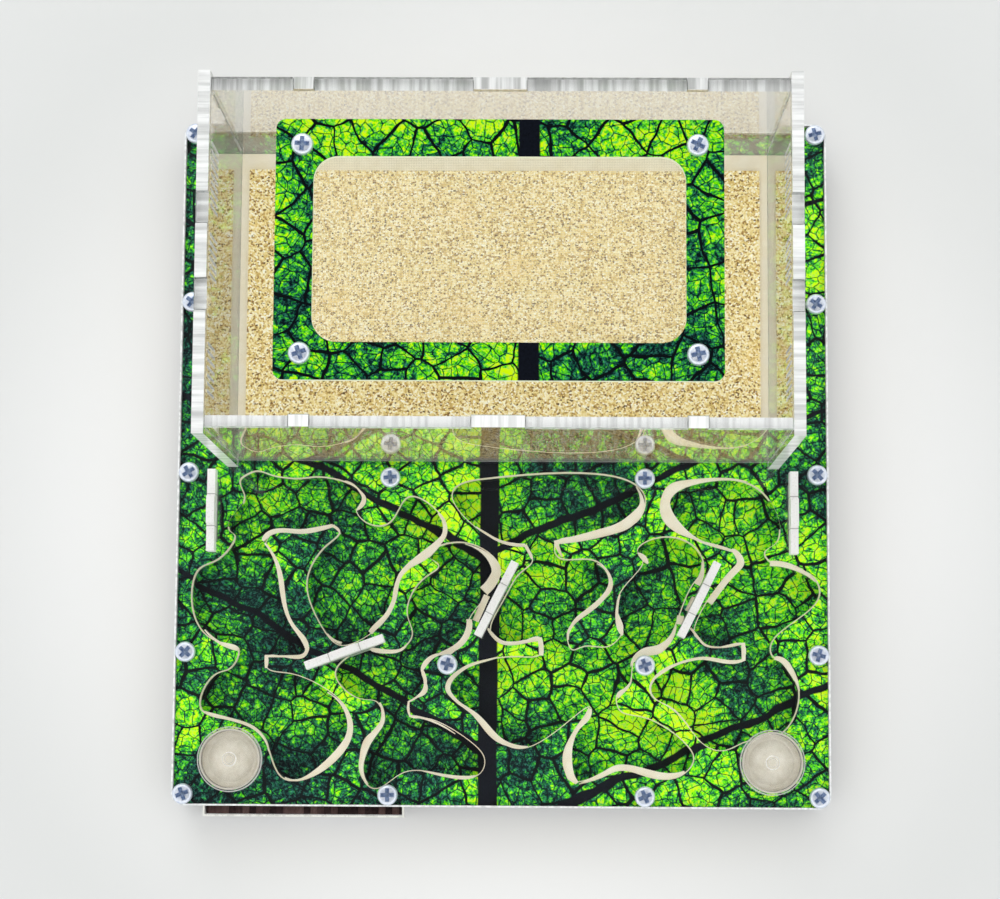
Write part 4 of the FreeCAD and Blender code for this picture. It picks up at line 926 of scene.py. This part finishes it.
def loose_parts(node):
    """The middle, seen from above, and the top of each separate solid of a node."""
    form = bmesh.new()
    form.from_mesh(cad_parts[node].data)
    bmesh.ops.remove_doubles(form, verts=form.verts, dist=1e-6)
    left = set(form.verts)
    parts = []
    while left:
        stack = [left.pop()]
        island = []
        while stack:
            vert = stack.pop()
            island.append(vert.co.copy())
            for edge in vert.link_edges:
                other = edge.other_vert(vert)
                if other in left:
                    left.remove(other)
                    stack.append(other)
        low = Vector([min(place[axis] for place in island) for axis in range(3)])
        high = Vector([max(place[axis] for place in island) for axis in range(3)])
        parts.append(((low.x + high.x) / 2, (low.y + high.y) / 2, high.z))
    form.free()
    return sorted(parts)


def set_screws(node, length, body, seed):
    """Puts a detailed screw, turned its own way, in the place of each plain one of a node."""
    angles = random.Random(seed)
    cutter = cross_cutter()
    model = screw_mesh(length, cutter)
    bpy.data.objects.remove(cutter)
    joined = bmesh.new()
    places = loose_parts(node)
    for x, y, top in places:
        turn = angles.uniform(0, math.pi / 2)
        copy = bmesh.new()
        copy.from_mesh(model)
        bmesh.ops.rotate(copy, verts=copy.verts, cent=(0, 0, 0),
                         matrix=Euler((0, 0, turn)).to_matrix())
        bmesh.ops.translate(copy, verts=copy.verts, vec=(x, y, top - HEAD_HEIGHT * MM))
        one = bpy.data.meshes.new("one")
        copy.to_mesh(one)
        copy.free()
        joined.from_mesh(one)
        bpy.data.meshes.remove(one)
    piece = add_piece(joined, f"{node}_detailed")
    piece.data.materials.append(zinc_finish)
    piece.data.materials.append(recess_painted_shade_finish)
    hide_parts(node)
    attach(piece, body)
    print(len(places), "screws set for", node)


set_screws("plate_screws", NEST_SCREW_LENGTH, "nest", 3)
set_screws("lid_screws", FRAME_SCREW_LENGTH, "lid", 8)


# %% [markdown]
# Each hydration plug is turned from clear acrylic: a stem in the cover's hole, a rim that rests
# on the cover and a small knob to lift it by. Under it sits the porous disc that passes water to
# the nest. Both are spun, with the small chamfers and rings that a lathe leaves.

# %% Plugs and porous discs
TURNED_STEPS = 96
TURNED_CREASE = 35


def turned(node, outline, finish, slot_name, body):
    """A spun piece on the axis of a solid that it replaces, heights from that solid's foot."""
    low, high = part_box(node)
    middle = ((low[0] + high[0]) / 2, (low[1] + high[1]) / 2, low[2])
    piece = spin(outline, TURNED_STEPS, middle, f"{node}_turned")
    smooth_by_angle(piece.data, TURNED_CREASE)
    piece.data.materials.append(finish)
    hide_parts(node)
    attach(piece, body)


PLUG_OUTLINE = [
    (0, 0), (7.7, 0), (8.0, 0.3), (8.0, 3.0), (8.7, 3.0), (8.9, 3.2), (8.9, 4.2), (8.6, 4.5),
    (8.3, 4.5), (8.15, 4.38), (8.0, 4.5), (2.2, 4.5), (1.95, 4.6), (1.9, 4.7), (1.9, 5.1),
    (1.7, 5.3), (1.2, 5.3), (1.1, 5.2), (0, 5.2),
]
DISC_OUTLINE = [
    (0, 0), (7.8, 0), (8.0, 0.2), (8.0, 6.3), (7.8, 6.5), (6.2, 6.5), (6.1, 6.44), (6.0, 6.5), (0, 6.5),
]
for side in ("left", "right"):
    turned(f"plug_{side}", PLUG_OUTLINE, plug_finish, "plug_acrylic", f"plug_{side}")
    turned(f"hydration_disc_{side}", DISC_OUTLINE, stone_finish, "porous_disc", "nest")
print("two plugs and two discs turned")


# %% [markdown]
# Sand is not flat. Its bed is a fine grid whose points are lifted by low ripples and by a small
# random amount for the grains themselves, and many coarser grains lie loose on top. All of it is
# one mesh without a hole, so it would also print or collide as a solid.

# %% Sand bed
GRAIN_STEP = 0.55
RIPPLE_HEIGHT = 0.18
GRAIN_HEIGHT = 0.06
BED_DROP = 0.2
COARSE_GRAINS = 1600
COARSE_SIZE = (0.2, 0.4)
COARSE_SHAPE = (0.6, 1.2)
GRAIN_TIPS = [(1, 0, 0), (0, 1, 0), (-1, 0, 0), (0, -1, 0), (0, 0, 1), (0, 0, -1)]
GRAIN_FACES = [(0, 1, 4), (1, 2, 4), (2, 3, 4), (3, 0, 4), (1, 0, 5), (2, 1, 5), (3, 2, 5), (0, 3, 5)]


def sand_height(x, y, chance):
    """Height above the bed's mean, in millimetres, from ripples and grains."""
    ripples = math.sin(x * 0.11 + 0.8 * math.sin(y * 0.07)) + math.sin(y * 0.16 + math.sin(x * 0.05))
    return RIPPLE_HEIGHT * ripples / 2 + chance.uniform(-GRAIN_HEIGHT, GRAIN_HEIGHT)


def make_sand():
    """The sand as one closed mesh in the place of its plain slab."""
    low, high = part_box("sand_layer")
    chance = random.Random(21)
    columns = round((high[0] - low[0]) / (GRAIN_STEP * MM))
    rows = round((high[1] - low[1]) / (GRAIN_STEP * MM))
    level = high[2] - BED_DROP * MM
    form = bmesh.new()
    grid = []
    for row in range(rows + 1):
        y = low[1] + (high[1] - low[1]) * row / rows
        line = []
        for column in range(columns + 1):
            x = low[0] + (high[0] - low[0]) * column / columns
            lift = sand_height(x / MM, y / MM, chance)
            line.append(form.verts.new((x, y, level + lift * MM)))
        grid.append(line)
    for row in range(rows):
        for column in range(columns):
            form.faces.new((grid[row][column], grid[row][column + 1],
                            grid[row + 1][column + 1], grid[row + 1][column]))
    right_side = [line[-1] for line in grid[1:]]
    left_side = [line[0] for line in grid[-2:0:-1]]
    rim = grid[0] + right_side + grid[-1][-2::-1] + left_side
    foot = [form.verts.new((vert.co.x, vert.co.y, low[2])) for vert in rim]
    for index in range(len(rim)):
        follow = (index + 1) % len(rim)
        form.faces.new((rim[index], foot[index], foot[follow], rim[follow]))
    form.faces.new(foot)
    for _ in range(COARSE_GRAINS):
        size = chance.uniform(*COARSE_SIZE) * MM
        middle = Vector((chance.uniform(low[0] + MM, high[0] - MM),
                         chance.uniform(low[1] + MM, high[1] - MM), level))
        tips = []
        for way in GRAIN_TIPS:
            tips.append(form.verts.new(middle + Vector(way) * size * chance.uniform(*COARSE_SHAPE)))
        for a, b, c in GRAIN_FACES:
            form.faces.new((tips[a], tips[b], tips[c]))
    bmesh.ops.recalc_face_normals(form, faces=form.faces)
    bed = add_piece(form, "sand_bed")
    bed.data.materials.append(sand_finish)
    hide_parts("sand_layer")
    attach(bed, "nest")
    return bed


sand_bed = make_sand()
print("sand bed:", len(sand_bed.data.vertices), "points")


# %% [markdown]
# The wick in the water tray is a ribbed fibre pad. A section across it, a row of low round ribs,
# is pushed along the tray in steps, and every point of it is lowered by a small random amount, so
# that the ribs look felted and not machined.

# %% Ribbed wick
RIB_HEIGHT = 0.45
POINTS_PER_RIB = 6
WICK_ROWS = 36
FELT_HEIGHT = 0.12


def make_wick():
    """The ribbed pad in the place of its plain block."""
    low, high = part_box("wick_pad")
    chance = random.Random(5)
    columns = POINTS_PER_RIB * round((high[0] - low[0]) / (RIB_PITCH * MM))
    form = bmesh.new()
    tops = []
    feet = []
    for row in range(WICK_ROWS + 1):
        y = low[1] + (high[1] - low[1]) * row / WICK_ROWS
        top = []
        foot = []
        for column in range(columns + 1):
            x = low[0] + (high[0] - low[0]) * column / columns
            wave = abs(math.sin(math.pi * x / (RIB_PITCH * MM)))
            drop = RIB_HEIGHT * (1 - wave) + chance.uniform(0, FELT_HEIGHT)
            height = high[2] - drop * MM
            top.append(form.verts.new((x, y, height)))
            foot.append(form.verts.new((x, y, low[2])))
        tops.append(top)
        feet.append(foot)
    for row in range(WICK_ROWS):
        for column in range(columns):
            form.faces.new((tops[row][column], tops[row][column + 1],
                            tops[row + 1][column + 1], tops[row + 1][column]))
            form.faces.new((feet[row][column], feet[row + 1][column],
                            feet[row + 1][column + 1], feet[row][column + 1]))
        for side in (0, columns):
            form.faces.new((tops[row][side], tops[row + 1][side], feet[row + 1][side], feet[row][side]))
    for column in range(columns):
        for end in (0, WICK_ROWS):
            form.faces.new((tops[end][column], tops[end][column + 1],
                            feet[end][column + 1], feet[end][column]))
    bmesh.ops.recalc_face_normals(form, faces=form.faces)
    wick = add_piece(form, "ribbed_wick")
    wick.data.materials.append(wick_finish)
    wick.data.shade_smooth()
    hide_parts("wick_pad")
    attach(wick, "tray")
    return wick


wick = make_wick()
print("wick:", len(wick.data.vertices), "points")
